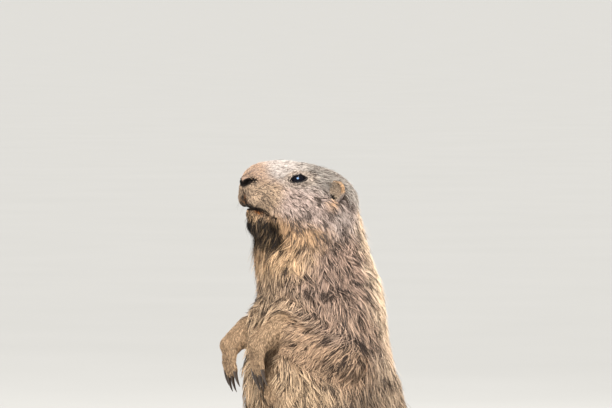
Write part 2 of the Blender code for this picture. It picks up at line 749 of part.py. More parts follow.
def claw(name, root, direction, down, length, radius, home):
    """A curved tapering claw: a curve with a bevel that narrows to its tip."""
    line = bpy.data.curves.new(name, "CURVE")
    line.dimensions = "3D"
    line.bevel_depth = 1.0
    line.bevel_resolution = 1
    line.use_fill_caps = True
    spline = line.splines.new("POLY")
    spline.points.add(CLAW_STEPS)
    for i, point in enumerate(spline.points):
        t = i / CLAW_STEPS
        place = root + direction * (length * t) + down * (CLAW_BEND * length * t * t)
        point.co = (*place, 1)
        point.radius = radius * (1 - t) ** CLAW_TAPER + CLAW_TIP
    obj = evaluated_copy(add(name + "_curve", line, home), name, home)
    shape = bmesh.new()
    shape.from_mesh(obj.data)
    bmesh.ops.remove_doubles(shape, verts=shape.verts, dist=1e-5)
    bmesh.ops.recalc_face_normals(shape, faces=shape.faces)
    shape.to_mesh(obj.data)
    shape.free()
    return obj


def make_hand(side, label, home, cutters):
    """A forefoot hanging from the wrist, its four fingers and their claws."""
    drop = arm_drop(side)
    wrist = side_point(WRIST, side, drop)
    palm = side_point(PALM, side, drop)
    sleeve = wrist.lerp(side_point(ELBOW, side, drop), SLEEVE_SHARE)
    pieces = [limb("palm", [sleeve, wrist, palm], PALM_RADII, cutters)]
    claws = []
    hang = HAND_HANG.normalized()
    for number, (spread, length) in enumerate(zip(FINGER_SPREAD, FINGER_LENGTHS), 1):
        knuckle = palm + Vector((spread * FINGER_ROOT_SHARE, 0.0, -FINGER_ROOT_DROP))
        heading = (hang + Vector((spread * FINGER_FAN, 0, 0))).normalized()
        middle = knuckle + heading * (FINGER_BEND_SHARE * length) + FINGER_BEND
        tip = knuckle + heading * length
        pieces.append(limb("finger", [knuckle, middle, tip], FINGER_RADII, cutters, FINGER_SEGMENTS))
        name = f"claw_fore_{label}_{number}"
        root = tip - heading * FORE_CLAW_SINK + FORE_CLAW_LIFT
        claws.append(claw(name, root, heading, FORE_CLAW_BEND, FORE_CLAW_LENGTH, FORE_CLAW_RADIUS, home))
    hand = fuse("hand_whole", pieces, PAW_VOXEL, PAW_SMOOTHING, cutters)
    hand = thinned(hand, f"forefoot_{label}", HAND_FACES, home)
    return hand, claws


def make_foot(side, label, home, cutters):
    """A hind foot flat on the floor, its five toes and their claws."""
    heel, instep = side_point(HEEL, side), side_point(INSTEP, side)
    forward = Matrix.Rotation(-FOOT_FLARE * side, 3, "Z") @ Vector((0, -1, 0))
    across = Vector((-forward.y, forward.x, 0))
    ball = instep + forward * BALL_REACH - Vector((0, 0, BALL_DROP))
    pieces = [limb("sole", [heel, instep, ball], FOOT_RADII, cutters)]
    claws = []
    for number, (spread, length) in enumerate(zip(TOE_SPREAD, TOE_LENGTHS), 1):
        knuckle = ball + across * spread * TOE_ROOT_SHARE + Vector((0, 0, -TOE_ROOT_DROP))
        heading = (forward + across * spread * TOE_FAN).normalized()
        middle = knuckle + heading * (0.5 * length) + TOE_ARCH
        tip = Vector((*(knuckle + heading * length).xy, TOE_TIP_HEIGHT))
        pieces.append(limb("toe", [knuckle, middle, tip], TOE_RADII, cutters, FINGER_SEGMENTS))
        name = f"claw_hind_{label}_{number}"
        root = tip + heading * HIND_CLAW_STEP + HIND_CLAW_LIFT
        claws.append(claw(name, root, heading, HIND_CLAW_BEND, HIND_CLAW_LENGTH, HIND_CLAW_RADIUS, home))
    foot = fuse("foot_whole", pieces, PAW_VOXEL, PAW_SMOOTHING, cutters)
    foot = thinned(foot, f"hindfoot_{label}", FOOT_FACES, home)
    return foot, claws


def paint(obj, finish):
    colour, roughness = FINISHES[finish]
    material = bpy.data.materials.get(finish) or bpy.data.materials.new(finish)
    material.use_nodes = True
    shader = material.node_tree.nodes["Principled BSDF"]
    shader.inputs["Base Color"].default_value = (*colour, 1)
    shader.inputs["Roughness"].default_value = roughness
    material.diffuse_color = (*colour, 1)
    obj.data.materials.clear()
    obj.data.materials.append(material)
    obj.data.shade_smooth()
    obj.data.set_sharp_from_angle(angle=SHARP_ANGLE)


def centre_on_floor(objects):
    """Moves the model so that the middle of its base box is at the origin."""
    corners = np.array([v.co for o in objects for v in o.data.vertices])
    low, high = corners.min(0), corners.max(0)
    shift = Vector((-(low[0] + high[0]) / 2, -(low[1] + high[1]) / 2, -low[2]))
    for obj in objects:
        obj.data.transform(Matrix.Translation(shift))


def build():
    clear_scene()
    home = collection("alpine_marmot")
    cutters = collection("cutters")
    cutters.hide_render = True
    floor = (Vector((0, 0, 0)), Vector((0, 0, 1)))

    head_all = head_pieces(cutters) + lid_pieces(cutters) + [trunk_loft("neck", cutters)]
    fine = fuse("head_whole", head_all, HEAD_VOXEL, HEAD_SMOOTHING, cutters)
    body_all = body_pieces(cutters) + [head_loft("skull", SKULL_ROWS, SKULL_STEPS, cutters)]
    coarse = fuse("body_whole", body_all, BODY_VOXEL, BODY_SMOOTHING, cutters)
    tail_all = [limb("tail", TAIL_POINTS, TAIL_RADII, cutters)]
    tail_whole = fuse("tail_whole", tail_all, TAIL_VOXEL, TAIL_SMOOTHING, cutters)
    spare_cut = (HEAD_CUT[0] - HEAD_CUT[1] * HEAD_SPARE, HEAD_CUT[1])
    fine_head = clipped(fine, "head_blank", [(spare_cut, 1)], cutters, cutters)
    fine_head = thinned(fine_head, "head_thin", HEAD_FACES, cutters)
    fine_head = coated(fine_head, HEAD_LOCKS, head_lie, coat_of_head, LOCK_SEED)
    body = thinned(coarse, "body_thin", BODY_FACES, cutters)
    body = coated(body, BODY_LOCKS, trunk_lie, coat_of_body, LOCK_SEED + 1)
    tail = thinned(tail_whole, "tail_thin", TAIL_FACES, cutters)
    tail = coated(tail, TAIL_LOCKS, tail_lie, coat_of_tail, LOCK_SEED + 2)

    nodes = {}
    head = clipped(fine_head, "head", [(HEAD_CUT, 1)], home, cutters)
    nose, nose_pocket = make_nose(home, cutters)
    head = without(head, nose_pocket)
    head = open_mouth(head, cutters)
    nodes["nose"] = (nose, "nose")
    for side, label in ((1, "left"), (-1, "right")):
        head = open_eye(head, side, cutters)
        nodes[f"eye_{label}"] = (make_eye(side, label, home), "eye")
        ear, ear_pocket = make_ear(side, label, home, cutters)
        head = without(head, ear_pocket)
        nodes[f"ear_{label}"] = (ear, "ear_skin")
    nodes["head"] = (head, "coat_head")
    neck = clipped(body, "neck", [(HEAD_CUT, -1), (NECK_CUT, 1)], home, cutters)
    nodes["neck"] = (neck, "coat_body")

    chest = clipped(body, "torso", [(NECK_CUT, -1), (WAIST_CUT, 1)], home, cutters)
    rump = clipped(body, "abdomen", [(WAIST_CUT, -1), (floor, 1)], home, cutters)
    for side, label in ((1, "left"), (-1, "right")):
        same = (lambda cut: cut) if side > 0 else mirrored
        drop = arm_drop(side)
        hand, claws = make_hand(side, label, home, cutters)
        wrist = side_point(WRIST, side, drop)
        elbow = side_point(ELBOW, side, drop)
        wrist_cut = (elbow.lerp(wrist, WRIST_CUT_SHARE), wrist - elbow)
        hand = boolean(hand, half_space("hand_side", wrist_cut, 1, cutters), "INTERSECT")
        arm_cuts = [(same(ARM_CUT), 1), (same(ARM_TOP_CUT), -1), (ARM_BOTTOM_CUT, 1)]
        arm = clipped(body, f"foreleg_{label}", arm_cuts, home, cutters)
        arm = seated(arm, hand, cutters)
        arm_region = block("arm_region", arm_cuts, cutters, -GAP / 2)
        chest = boolean(chest, arm_region, "DIFFERENCE")
        bpy.data.objects.remove(arm_region, do_unlink=True)
        for nail in claws:
            hand = seated(hand, nail, cutters)
            nodes[nail.name] = (nail, "claw")
        nodes[hand.name] = (hand, "coat_paw")
        nodes[arm.name] = (arm, "coat_body")

        foot, claws = make_foot(side, label, home, cutters)
        foot = boolean(foot, half_space("foot_floor", floor, 1, cutters, 0), "INTERSECT")
        thigh_cuts = [(same(THIGH_CUT), 1), (THIGH_TOP_CUT, -1), (floor, 1)]
        thigh = clipped(body, f"hindleg_{label}", thigh_cuts, home, cutters)
        thigh = seated(thigh, foot, cutters)
        thigh_region = block("thigh_region", thigh_cuts[:2], cutters, -GAP / 2)
        rump = boolean(rump, thigh_region, "DIFFERENCE")
        bpy.data.objects.remove(thigh_region, do_unlink=True)
        rump = seated(rump, foot, cutters)
        for nail in claws:
            foot = seated(foot, nail, cutters)
            nodes[nail.name] = (nail, "claw")
        nodes[foot.name] = (foot, "coat_paw")
        nodes[thigh.name] = (thigh, "coat_body")

    tail = boolean(tail, half_space("tail_floor", floor, 1, cutters, 0), "INTERSECT", "MANIFOLD")
    tail_base = clipped(tail, "tail_base", [(TAIL_MIDDLE_CUT, -1)], home, cutters)
    tail_end = clipped(tail, "tail_end", [(TAIL_MIDDLE_CUT, 1)], home, cutters)
    rump = seated(rump, tail_base, cutters)
    nodes["torso"] = (chest, "coat_body")
    nodes["abdomen"] = (rump, "coat_body")
    nodes["tail_base"] = (tail_base, "coat_tail")
    nodes["tail_end"] = (tail_end, "coat_tail")

    for name, (obj, finish) in nodes.items():
        obj.name = name
        largest(obj)
        paint(obj, finish)
    centre_on_floor([obj for obj, finish in nodes.values()])
    for helper in list(cutters.objects):
        bpy.data.objects.remove(helper, do_unlink=True)


build()
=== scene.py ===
"""The alpine marmot's looks: one skin, its coat of small tufts, eyes, nose, ears, claws and whiskers.

Metres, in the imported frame. The forms below are laid out with the nose tip at NOSE_TIP and are moved at
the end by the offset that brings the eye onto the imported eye.
"""

import json
import math

import bmesh
import bpy
import numpy as np
from mathutils import Matrix, Vector
from mathutils.bvhtree import BVHTree
from mathutils.kdtree import KDTree

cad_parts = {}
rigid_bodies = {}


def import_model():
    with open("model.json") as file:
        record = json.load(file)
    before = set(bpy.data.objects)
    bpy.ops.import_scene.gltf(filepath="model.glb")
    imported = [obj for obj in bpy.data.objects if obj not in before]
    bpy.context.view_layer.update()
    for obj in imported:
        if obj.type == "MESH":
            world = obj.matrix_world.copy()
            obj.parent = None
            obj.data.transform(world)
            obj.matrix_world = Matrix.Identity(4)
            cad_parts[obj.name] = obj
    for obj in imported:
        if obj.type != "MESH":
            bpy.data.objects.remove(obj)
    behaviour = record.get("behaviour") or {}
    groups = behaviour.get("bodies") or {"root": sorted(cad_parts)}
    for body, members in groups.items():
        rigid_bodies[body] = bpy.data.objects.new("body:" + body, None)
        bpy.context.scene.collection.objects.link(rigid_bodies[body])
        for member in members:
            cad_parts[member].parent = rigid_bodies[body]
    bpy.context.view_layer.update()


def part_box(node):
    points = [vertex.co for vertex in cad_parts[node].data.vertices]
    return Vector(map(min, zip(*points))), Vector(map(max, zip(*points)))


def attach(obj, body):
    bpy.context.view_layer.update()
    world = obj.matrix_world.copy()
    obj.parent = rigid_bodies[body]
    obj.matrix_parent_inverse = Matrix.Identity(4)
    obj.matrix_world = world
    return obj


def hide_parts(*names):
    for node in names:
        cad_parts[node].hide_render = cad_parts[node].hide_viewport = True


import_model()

# Head, measured from the front of the nose: back along the head, up, and out to the left
NOSE_TIP = Vector((0.0, -0.095, 0.382))
HEAD_PITCH = math.radians(15.5)
HEAD_ROUNDNESS = 2.3
BACK = Vector((0, math.cos(HEAD_PITCH), -math.sin(HEAD_PITCH)))
UP = Vector((0, math.sin(HEAD_PITCH), math.cos(HEAD_PITCH)))
OUT = Vector((1, 0, 0))
HEAD_TURN = Matrix((BACK, UP, OUT)).transposed()

# Skull and muzzle: distance back, top, bottom, half width, height of the widest point
SKULL_ROWS = (
    (0.0000, 0.0050, -0.0075, 0.0070, -0.0010),
    (0.0020, 0.0105, -0.0135, 0.0120, -0.0020),
    (0.0060, 0.0155, -0.0195, 0.0155, -0.0050),
    (0.0130, 0.0203, -0.0235, 0.0185, -0.0085),
    (0.0220, 0.0243, -0.0270, 0.0215, -0.0095),
    (0.0330, 0.0275, -0.0330, 0.0272, -0.0090),
    (0.0480, 0.0300, -0.0410, 0.0352, -0.0080),
    (0.0640, 0.0312, -0.0440, 0.0400, -0.0070),
    (0.0780, 0.0315, -0.0430, 0.0418, -0.0050),
    (0.0900, 0.0290, -0.0380, 0.0395, -0.0030),
    (0.1000, 0.0235, -0.0290, 0.0330, -0.0010),
    (0.1070, 0.0155, -0.0180, 0.0225, 0.0000),
    (0.1110, 0.0055, -0.0060, 0.0090, 0.0000),
)
JAW_ROWS = (
    (0.0085, -0.0268, -0.0300, 0.0030, -0.0285),
    (0.0105, -0.0246, -0.0345, 0.0075, -0.0290),
    (0.0150, -0.0240, -0.0395, 0.0105, -0.0310),
    (0.0220, -0.0240, -0.0440, 0.0135, -0.0330),
    (0.0320, -0.0230, -0.0470, 0.0175, -0.0320),
    (0.0450, -0.0200, -0.0475, 0.0225, -0.0300),
    (0.0600, -0.0180, -0.0450, 0.0230, -0.0290),
    (0.0740, -0.0230, -0.0380, 0.0120, -0.0300),
)

# Neck and trunk: height, middle, half depth, half width
TRUNK_ROWS = (
    (0.0000, 0.0060, 0.0330, 0.0400),
    (0.0060, 0.0060, 0.0480, 0.0560),
    (0.0160, 0.0055, 0.0600, 0.0690),
    (0.0370, 0.0040, 0.0700, 0.0800),
    (0.0720, 0.0000, 0.0780, 0.0880),
    (0.1120, -0.0050, 0.0790, 0.0900),
    (0.1520, -0.0100, 0.0750, 0.0870),
    (0.1920, -0.0150, 0.0690, 0.0800),
    (0.2340, -0.0200, 0.0625, 0.0715),
    (0.2620, -0.0175, 0.0600, 0.0660),
    (0.2880, -0.0190, 0.0575, 0.0585),
    (0.3090, -0.0245, 0.0555, 0.0515),
    (0.3240, -0.0275, 0.0535, 0.0470),
    (0.3450, -0.0265, 0.0470, 0.0420),
    (0.3620, -0.0220, 0.0330, 0.0320),
)

# Face details on the head's left side: back, up, out
CHEEK = ((0.056, -0.023, 0.0200), (0.031, 0.022, 0.0180))
LIP_PAD = ((0.0105, -0.0135, 0.0085), (0.0095, 0.0098, 0.0100))
BROW = ((0.0410, 0.0180, 0.0172), (0.0150, 0.0065, 0.0060))
EYE = (0.0417, 0.0115, 0.0236)
EYE_RADIUS = 0.0064
EYE_AXIS = Vector((-0.34, 0.20, 0.92))
EYE_SLANT = math.radians(18)
LID_THICKNESS = 0.0014
EYE_FRONT, EYE_REAR = 0.0076, 0.0064
EYE_ABOVE, EYE_BELOW = 0.0037, 0.0030
EAR = (0.0735, 0.0092, 0.0358)
EAR_RADII = (0.0087, 0.0102, 0.0062)
EAR_AXIS_TURN = math.radians(24)
EAR_LEAN = math.radians(24)
EAR_HOLE = (0.0006, -0.0058)
NOSE_PAD = (0.0050, -0.0008, 0.0)
NOSE_PAD_RADII = (0.0060, 0.0058, 0.0122)
NOSTRIL = (
    (-0.0004, -0.0034, 0.0024),
    (0.0008, -0.0010, 0.0070),
    (0.0042, 0.0010, 0.0104),
    (0.0062, 0.0014, 0.0118),
)
NOSTRIL_RADII = (0.0015, 0.0021, 0.0019, 0.0011)
MOUTH = ((0.000, -0.0222), (0.012, -0.0226), (0.019, -0.0228), (0.026, -0.0246), (0.031, -0.0272))
MOUTH_GAPS = (0.0024, 0.0024, 0.0019, 0.0012, 0.0005)
MOUTH_MIDDLE = 0.034
MOUTH_CUT = 0.0040
EAR_CUP_SHIFT = (-0.0018, -0.0012, 0.0040)
EAR_CUP_RADII = (0.0081, 0.0096, 0.0054)

# The lids' rings: way out from the opening's edge, least rise over the eyeball and least rise over the skin
NO_RISE = -1
LID_RINGS = (
    (-0.0016, -0.0008, -0.0030),
    (0.0000, -0.0002, -0.0016),
    (0.0001, 0.0004, -0.0008),
    (0.0004, 0.0007, 0.0000),
    (0.0008, NO_RISE, 0.0003),
    (0.0014, NO_RISE, -0.0001),
    (0.0026, NO_RISE, -0.0012),
)

# Whiskers and brow hairs: place of the first, how many, and their length
WHISKER_ROWS = (
    ((0.010, -0.006), 6, 0.030),
    ((0.013, -0.011), 7, 0.038),
    ((0.015, -0.016), 7, 0.034),
    ((0.034, 0.022), 2, 0.018),
)
WHISKER_OUT = 0.0165
WHISKER_RADIUS = 0.00016
WHISKER_STEPS = 8

# Limbs of the left side, and the tail
SHOULDER = Vector((0.046, -0.020, 0.262))
ELBOW = Vector((0.066, -0.024, 0.222))
WRIST = Vector((0.033, -0.0745, 0.251))
PALM = Vector((0.030, -0.0945, 0.235))
FORELEG_RADII = (0.026, 0.0185, 0.0118)
FORELEG_SHARE = 0.86
FINGER_SPREAD = (-0.0100, -0.0034, 0.0034, 0.0100)
FINGER_LENGTHS = (0.019, 0.024, 0.024, 0.019)
RIGHT_ARM_DROP = 0.004
HAUNCH = Vector((0.064, -0.014, 0.074))
HAUNCH_RADII = (0.042, 0.062, 0.064)
KNEE = Vector((0.066, -0.060, 0.084))
THIGH_RADIUS = 0.045
KNEE_RADIUS = 0.027
SHANK_RADII = (0.024, 0.016)
HEEL = Vector((0.058, -0.010, 0.014))
INSTEP = Vector((0.066, -0.060, 0.015))
FOOT_FLARE = math.radians(7)
TOE_SPREAD = (-0.0150, -0.0078, 0.0, 0.0078, 0.0148)
TOE_LENGTHS = (0.014, 0.021, 0.023, 0.021, 0.015)
TOE_RADIUS = 0.0050
TAIL_POINTS = (
    Vector((0.000, 0.058, 0.034)),
    Vector((0.004, 0.092, 0.026)),
    Vector((0.016, 0.126, 0.0225)),
    Vector((0.036, 0.158, 0.0205)),
    Vector((0.064, 0.184, 0.0170)),
    Vector((0.086, 0.197, 0.0120)),
)
TAIL_RADII = (0.021, 0.021, 0.0225, 0.0225, 0.0165, 0.0075)
SIDES = {1: "left", -1: "right"}

# How far from their middle lines the forelegs, feet and tail reach
ARM_REACH, FOOT_REACH, TAIL_REACH = 0.0235, 0.024, 0.034

# The skin's grid, its rounds of smoothing, its lowest height, and the segments of a round cutter
SKIN_VOXEL = 0.00196
SKIN_ROUNDS = 5
SKIN_FLOOR = 0.0008
CUTTER_SEGMENTS = 48

# Borders between the zones of the coat: back along the head, forward on the trunk, and heights
FACE_REAR = 0.046
FRONT_PLANE = -0.015
NECK_FOOT, WAIST = 0.272, 0.165

# Tufts: ranges of the random factors on their size, lift and gather, and their fixed shares
TUFT_LENGTHS, TUFT_WIDTHS = (0.65, 1.30), (0.65, 1.40)
CLUMP_LIFTS, TUFT_LIFTS, GATHERS = (0.50, 1.05), (0.75, 1.15), (0.5, 1.05)
LOOSE_LIFT = 1.5
ROOT_DEPTH = 0.0006
TUFT_FLOOR = 0.0004
TUFT_ROLL = 0.45
TUFT_RIDGE = 0.45
TUFT_RINGS = ((0.0, 0.85), (0.5, 0.85))
GUARD_HAIRS = 0.7e5
EAR_TUFTS = 4.2e6


def tone(red, green, blue):
    """A colour picked on the usual 0 to 255 scale, as linear light."""
    share = np.array((red, green, blue)) / 255
    return np.where(share <= 0.04045, share / 12.92, ((share + 0.055) / 1.055) ** 2.4)


TONES = {
    "bridge": tone(222, 213, 207),
    "nose_top": tone(206, 174, 148),
    "muzzle": tone(214, 186, 158),
    "brow": tone(198, 182, 168),
    "crown": tone(168, 160, 152),
    "cheek": tone(206, 184, 174),
    "jowl": tone(198, 160, 122),
    "behind_ear": tone(200, 186, 178),
    # A dark brown, also used as painted shade under the upper lip and under the ear's rim
    "brown_and_shade": tone(84, 62, 44),
    # Pale fur, made brighter than it is as painted light on the throat under the jaw and on the lower lip
    "pale_fur_and_painted_light": tone(244, 204, 162),
    "lip_spot": tone(214, 132, 62),
    # Dark fur of the chin and collar, used under the jaw also as painted shadow
    "chin": tone(60, 48, 29),
    "throat": tone(224, 191, 153),
    "neck": tone(193, 164, 146),
    "nape": tone(236, 212, 184),
    "shoulder": tone(192, 163, 142),
    "chest": tone(224, 194, 160),
    "back": tone(160, 137, 115),
    "belly": tone(184, 155, 124),
    "forearm": tone(206, 172, 142),
    "foot": tone(194, 163, 131),
    "tail": tone(120, 88, 66),
    "tail_tip": tone(44, 35, 30),
    "ear_rim": tone(224, 180, 136),
    "ear_inside": tone(200, 178, 156),
    "darkest": tone(26, 20, 17),
    "under_head": tone(98, 84, 76),
    "under_body": tone(52, 40, 36),
    "under_low": tone(88, 72, 60),
    "nose_skin": tone(176, 148, 130),
    "lid": tone(30, 23, 20),
}


def smooth(value, low, high):
    """0 below low, 1 above high, and a smooth rise between; high may be the lower one."""
    share = np.clip((value - low) / (high - low), 0, 1)
    return share * share * (3 - 2 * share)


def hill(value, middle, reach):
    return np.exp(-(((value - middle) / reach) ** 2))


def blend(one, other, share):
    """Rows of one where share is 0, of other where it is 1."""
    share = share[:, None]
    return one * (1 - share) + other * share


def unit(vectors):
    return vectors / np.maximum(np.linalg.norm(vectors, axis=1), 1e-9)[:, None]


def constant(value):
    return lambda points: np.full(len(points), value)


def patches(points, size, seed):
    """Slow random swells between about -1 and 1, each about size across."""
    chance = np.random.default_rng(seed)
    total = np.zeros(len(points))
    for turn in range(10):
        wave = chance.normal(0, 1, 3)
        wave *= 2 * math.pi / (size * 2 * np.linalg.norm(wave)) * chance.uniform(0.6, 1.5)
        total += np.sin(points @ wave + chance.uniform(0, 2 * math.pi))
    return total / 3.2


def on_head(local, side=1):
    """A place given by back, up and out on the head, on the left or the right side."""
    return NOSE_TIP + BACK * local[0] + UP * local[1] + OUT * (local[2] * side)


def side_point(point, side, drop=0.0):
    return Vector((point.x * side, point.y, point.z - drop))


def arm_points(side, *points):
    """A foreleg's points on one side; the right one hangs a little lower."""
    return [side_point(point, side, RIGHT_ARM_DROP if side < 0 else 0.0) for point in points]


def to_head(points):
    """Back, up and out on the head for an array of points."""
    away = points - np.array(NOSE_TIP)
    return away @ np.array(BACK), away @ np.array(UP), away[:, 0]


# Mesh tools
home = bpy.data.collections.new("marmot")
bpy.context.scene.collection.children.link(home)


def add(name, mesh):
    obj = bpy.data.objects.new(name, mesh)
    home.objects.link(obj)
    return obj


def settle_order(shape):
    """Gives edges and faces a fixed order, because create_uvsphere makes them in another one each run."""
    shape.verts.index_update()
    for parts in (shape.edges, shape.faces):
        in_order = sorted(parts, key=lambda part: sorted(vert.index for vert in part.verts))
        for number, part in enumerate(in_order):
            part.index = number
        parts.sort()


def from_bmesh(name, shape):
    bmesh.ops.recalc_face_normals(shape, faces=shape.faces)
    mesh = bpy.data.meshes.new(name)
    shape.to_mesh(mesh)
    shape.free()
    return add(name, mesh)


def remove(obj):
    bpy.data.objects.remove(obj, do_unlink=True)


def applied(obj, name):
    """A plain mesh object with obj's modifiers applied; obj is removed."""
    bpy.context.view_layer.update()
    graph = bpy.context.evaluated_depsgraph_get()
    mesh = bpy.data.meshes.new_from_object(obj.evaluated_get(graph))
    remove(obj)
    mesh.name = name
    return add(name, mesh)


def ease(keys, values, at):
    """Values read from a table along a smooth curve through its rows."""
    slopes = np.gradient(values, keys, axis=0)
    row = np.clip(np.searchsorted(keys, at) - 1, 0, len(keys) - 2)
    span = keys[row + 1] - keys[row]
    t = ((at - keys[row]) / span)[:, None]
    span = span[:, None]
    start, end = (1 + 2 * t) * (1 - t) ** 2, t * t * (3 - 2 * t)
    leave, arrive = t * (1 - t) ** 2 * span, t * t * (t - 1) * span
    return start * values[row] + end * values[row + 1] + leave * slopes[row] + arrive * slopes[row + 1]


def join_loops(shape, loops):
    """Faces between each closed loop of vertices and the next."""
    count = len(loops[0])
    for one, other in zip(loops, loops[1:]):
        for i in range(count):
            j = (i + 1) % count
            shape.faces.new((one[i], one[j], other[j], other[i]))


def loft(name, rings):
    """A closed skin over rings of equally many points, with a fan at each end."""
    shape = bmesh.new()
    loops = [[shape.verts.new(p) for p in ring] for ring in rings]
    join_loops(shape, loops)
    count = len(rings[0])
    for ring, loop in ((rings[0], loops[0]), (rings[-1], loops[-1])):
        middle = shape.verts.new(sum((Vector(p) for p in ring), Vector()) / count)
        for i in range(count):
            shape.faces.new((loop[i], loop[(i + 1) % count], middle))
    return from_bmesh(name, shape)


def ellipsoid(name, centre, radii, turn, segments=32):
    shape = bmesh.new()
    bmesh.ops.create_uvsphere(shape, u_segments=segments, v_segments=segments // 2, radius=1)
    settle_order(shape)
    scale = Matrix.Diagonal((*radii, 1))
    bmesh.ops.transform(shape, matrix=Matrix.Translation(centre) @ turn.to_4x4() @ scale, verts=shape.verts)
    return from_bmesh(name, shape)


def limb(name, points, radii, segments=24):
    """Balls at the points with cones between them, for fusing later."""
    shape = bmesh.new()
    for point, radius in zip(points, radii):
        made = bmesh.ops.create_uvsphere(shape, u_segments=segments, v_segments=segments // 2, radius=radius)
        bmesh.ops.translate(shape, vec=point, verts=made["verts"])
    settle_order(shape)
    for start, end, near, far in zip(points, points[1:], radii, radii[1:]):
        span = end - start
        place = Matrix.Translation((start + end) / 2) @ span.to_track_quat("Z", "Y").to_matrix().to_4x4()
        sizes = {"radius1": near, "radius2": far, "depth": span.length}
        bmesh.ops.create_cone(shape, cap_ends=True, segments=segments, matrix=place, **sizes)
    return from_bmesh(name, shape)


def joined(name, pieces):
    shape = bmesh.new()
    for piece in pieces:
        shape.from_mesh(piece.data)
        remove(piece)
    mesh = bpy.data.meshes.new(name)
    shape.to_mesh(mesh)
    shape.free()
    return add(name, mesh)


def fused(name, pieces, voxel, rounds):
    """One closed organic surface round overlapping pieces."""
    obj = joined(name, pieces)
    remesh = obj.modifiers.new("fuse", "REMESH")
    remesh.mode = "VOXEL"
    remesh.voxel_size = voxel
    soften = obj.modifiers.new("soften", "SMOOTH")
    soften.iterations = rounds
    return applied(obj, name)


def cut_by(obj, cutter):
    step = obj.modifiers.new("cut", "BOOLEAN")
    step.operation = "DIFFERENCE"
    step.object = cutter
    step.solver = "MANIFOLD"
    name = obj.name
    obj.name = name + "_before"
    made = applied(obj, name)
    remove(cutter)
    return made


def per_vertex(mesh, field):
    """A value of three numbers for each vertex: co or normal."""
    flat = np.empty(len(mesh.vertices) * 3)
    mesh.vertices.foreach_get(field, flat)
    return flat.reshape(-1, 3)


def colour_layer(mesh, name, values):
    full = np.ones((len(values), 4))
    full[:, :3] = values
    mesh.attributes.new(name, "FLOAT_COLOR", "POINT").data.foreach_set("color", full.ravel())


# The body's forms
def head_loft(name, rows, steps):
    rows = np.array(rows)
    at = np.linspace(rows[0, 0], rows[-1, 0], steps)
    angles = np.linspace(0, 2 * math.pi, 64, endpoint=False)
    power = 2 / HEAD_ROUNDNESS
    rings = []
    for back, (top, bottom, width, widest) in zip(at, ease(rows[:, 0], rows[:, 1:], at)):
        ring = []
        for angle in angles:
            rise = abs(math.sin(angle)) ** power
            out = width * math.copysign(abs(math.cos(angle)) ** power, math.cos(angle))
            up = widest + (top - widest) * rise if math.sin(angle) >= 0 else widest - (widest - bottom) * rise
            ring.append(on_head((back, up, out)))
        rings.append(ring)
    return loft(name, rings)


def trunk_loft(name):
    rows = np.array(TRUNK_ROWS)
    at = np.linspace(rows[0, 0], rows[-1, 0], 90)
    angles = np.linspace(0, 2 * math.pi, 72, endpoint=False)
    rings = []
    for height, (middle, depth, width) in zip(at, ease(rows[:, 0], rows[:, 1:], at)):
        rings.append([(width * math.cos(a), middle + depth * math.sin(a), height) for a in angles])
    return loft(name, rings)


def hand_parts(side):
    """The palm, the fingers and the places and headings of the finger tips."""
    elbow, wrist, palm = arm_points(side, ELBOW, WRIST, PALM)
    parts = [limb("palm", [wrist.lerp(elbow, 0.16), wrist, palm], (0.0121, 0.0118, 0.0105))]
    tips = []
    hang = Vector((0, 0.04, -1)).normalized()
    for spread, length in zip(FINGER_SPREAD, FINGER_LENGTHS):
        knuckle = palm + Vector((spread * 0.8, 0.0, -0.004))
        heading = (hang + Vector((spread * 12, 0, 0))).normalized()
        middle = knuckle + heading * (0.55 * length) + Vector((0, -0.0022, 0))
        tip = knuckle + heading * length
        parts.append(limb("finger", [knuckle, middle, tip], (0.0046, 0.0036, 0.0032), 16))
        tips.append((tip - heading * 0.0012 + Vector((0, -0.0006, 0)), heading))
    return parts, tips


def foot_parts(side):
    """The sole, the toes and the places and headings of the toe tips."""
    heel, instep = side_point(HEEL, side), side_point(INSTEP, side)
    forward = Matrix.Rotation(-FOOT_FLARE * side, 3, "Z") @ Vector((0, -1, 0))
    across = Vector((-forward.y, forward.x, 0))
    ball = instep + forward * 0.014 - Vector((0, 0, 0.0045))
    parts = [limb("sole", [heel, instep, ball], (0.016, 0.0150, 0.0105))]
    tips = []
    for spread, length in zip(TOE_SPREAD, TOE_LENGTHS):
        knuckle = ball + across * spread * 0.8 + Vector((0, 0, -0.0015))
        heading = (forward + across * spread * 9).normalized()
        middle = knuckle + heading * (0.5 * length) + Vector((0, 0, 0.0010))
        tip = Vector((*(knuckle + heading * length).xy, TOE_RADIUS * 0.9))
        parts.append(limb("toe", [knuckle, middle, tip], (0.0066, 0.0056, TOE_RADIUS), 16))
        tips.append((tip + heading * 0.0012 + Vector((0, 0, 0.0018)), heading))
    return parts, tips


def body_parts():
    identity = Matrix.Identity(3)
    parts = [head_loft("skull", SKULL_ROWS, 90), head_loft("jaw", JAW_ROWS, 40), trunk_loft("trunk")]
    parts.append(limb("tail", TAIL_POINTS, TAIL_RADII))
    for side in SIDES:
        for name, (centre, radii) in (("cheek", CHEEK), ("lip_pad", LIP_PAD), ("brow", BROW)):
            parts.append(ellipsoid(name, on_head(centre, side), radii, HEAD_TURN))
        lid = EYE_RADIUS + LID_THICKNESS
        parts.append(ellipsoid("lids", on_head(EYE, side), (lid,) * 3, identity))
        ends = arm_points(side, SHOULDER, ELBOW, ELBOW.lerp(WRIST, FORELEG_SHARE))
        parts.append(limb("arm", ends, FORELEG_RADII))
        haunch, knee = side_point(HAUNCH, side), side_point(KNEE, side)
        parts.append(ellipsoid("haunch", haunch, HAUNCH_RADII, identity))
        parts.append(limb("thigh", [haunch, knee], (THIGH_RADIUS, KNEE_RADIUS)))
        parts.append(limb("shank", [knee, side_point(HEEL, side)], SHANK_RADII))
        parts += hand_parts(side)[0]
        parts += foot_parts(side)[0]
    return parts


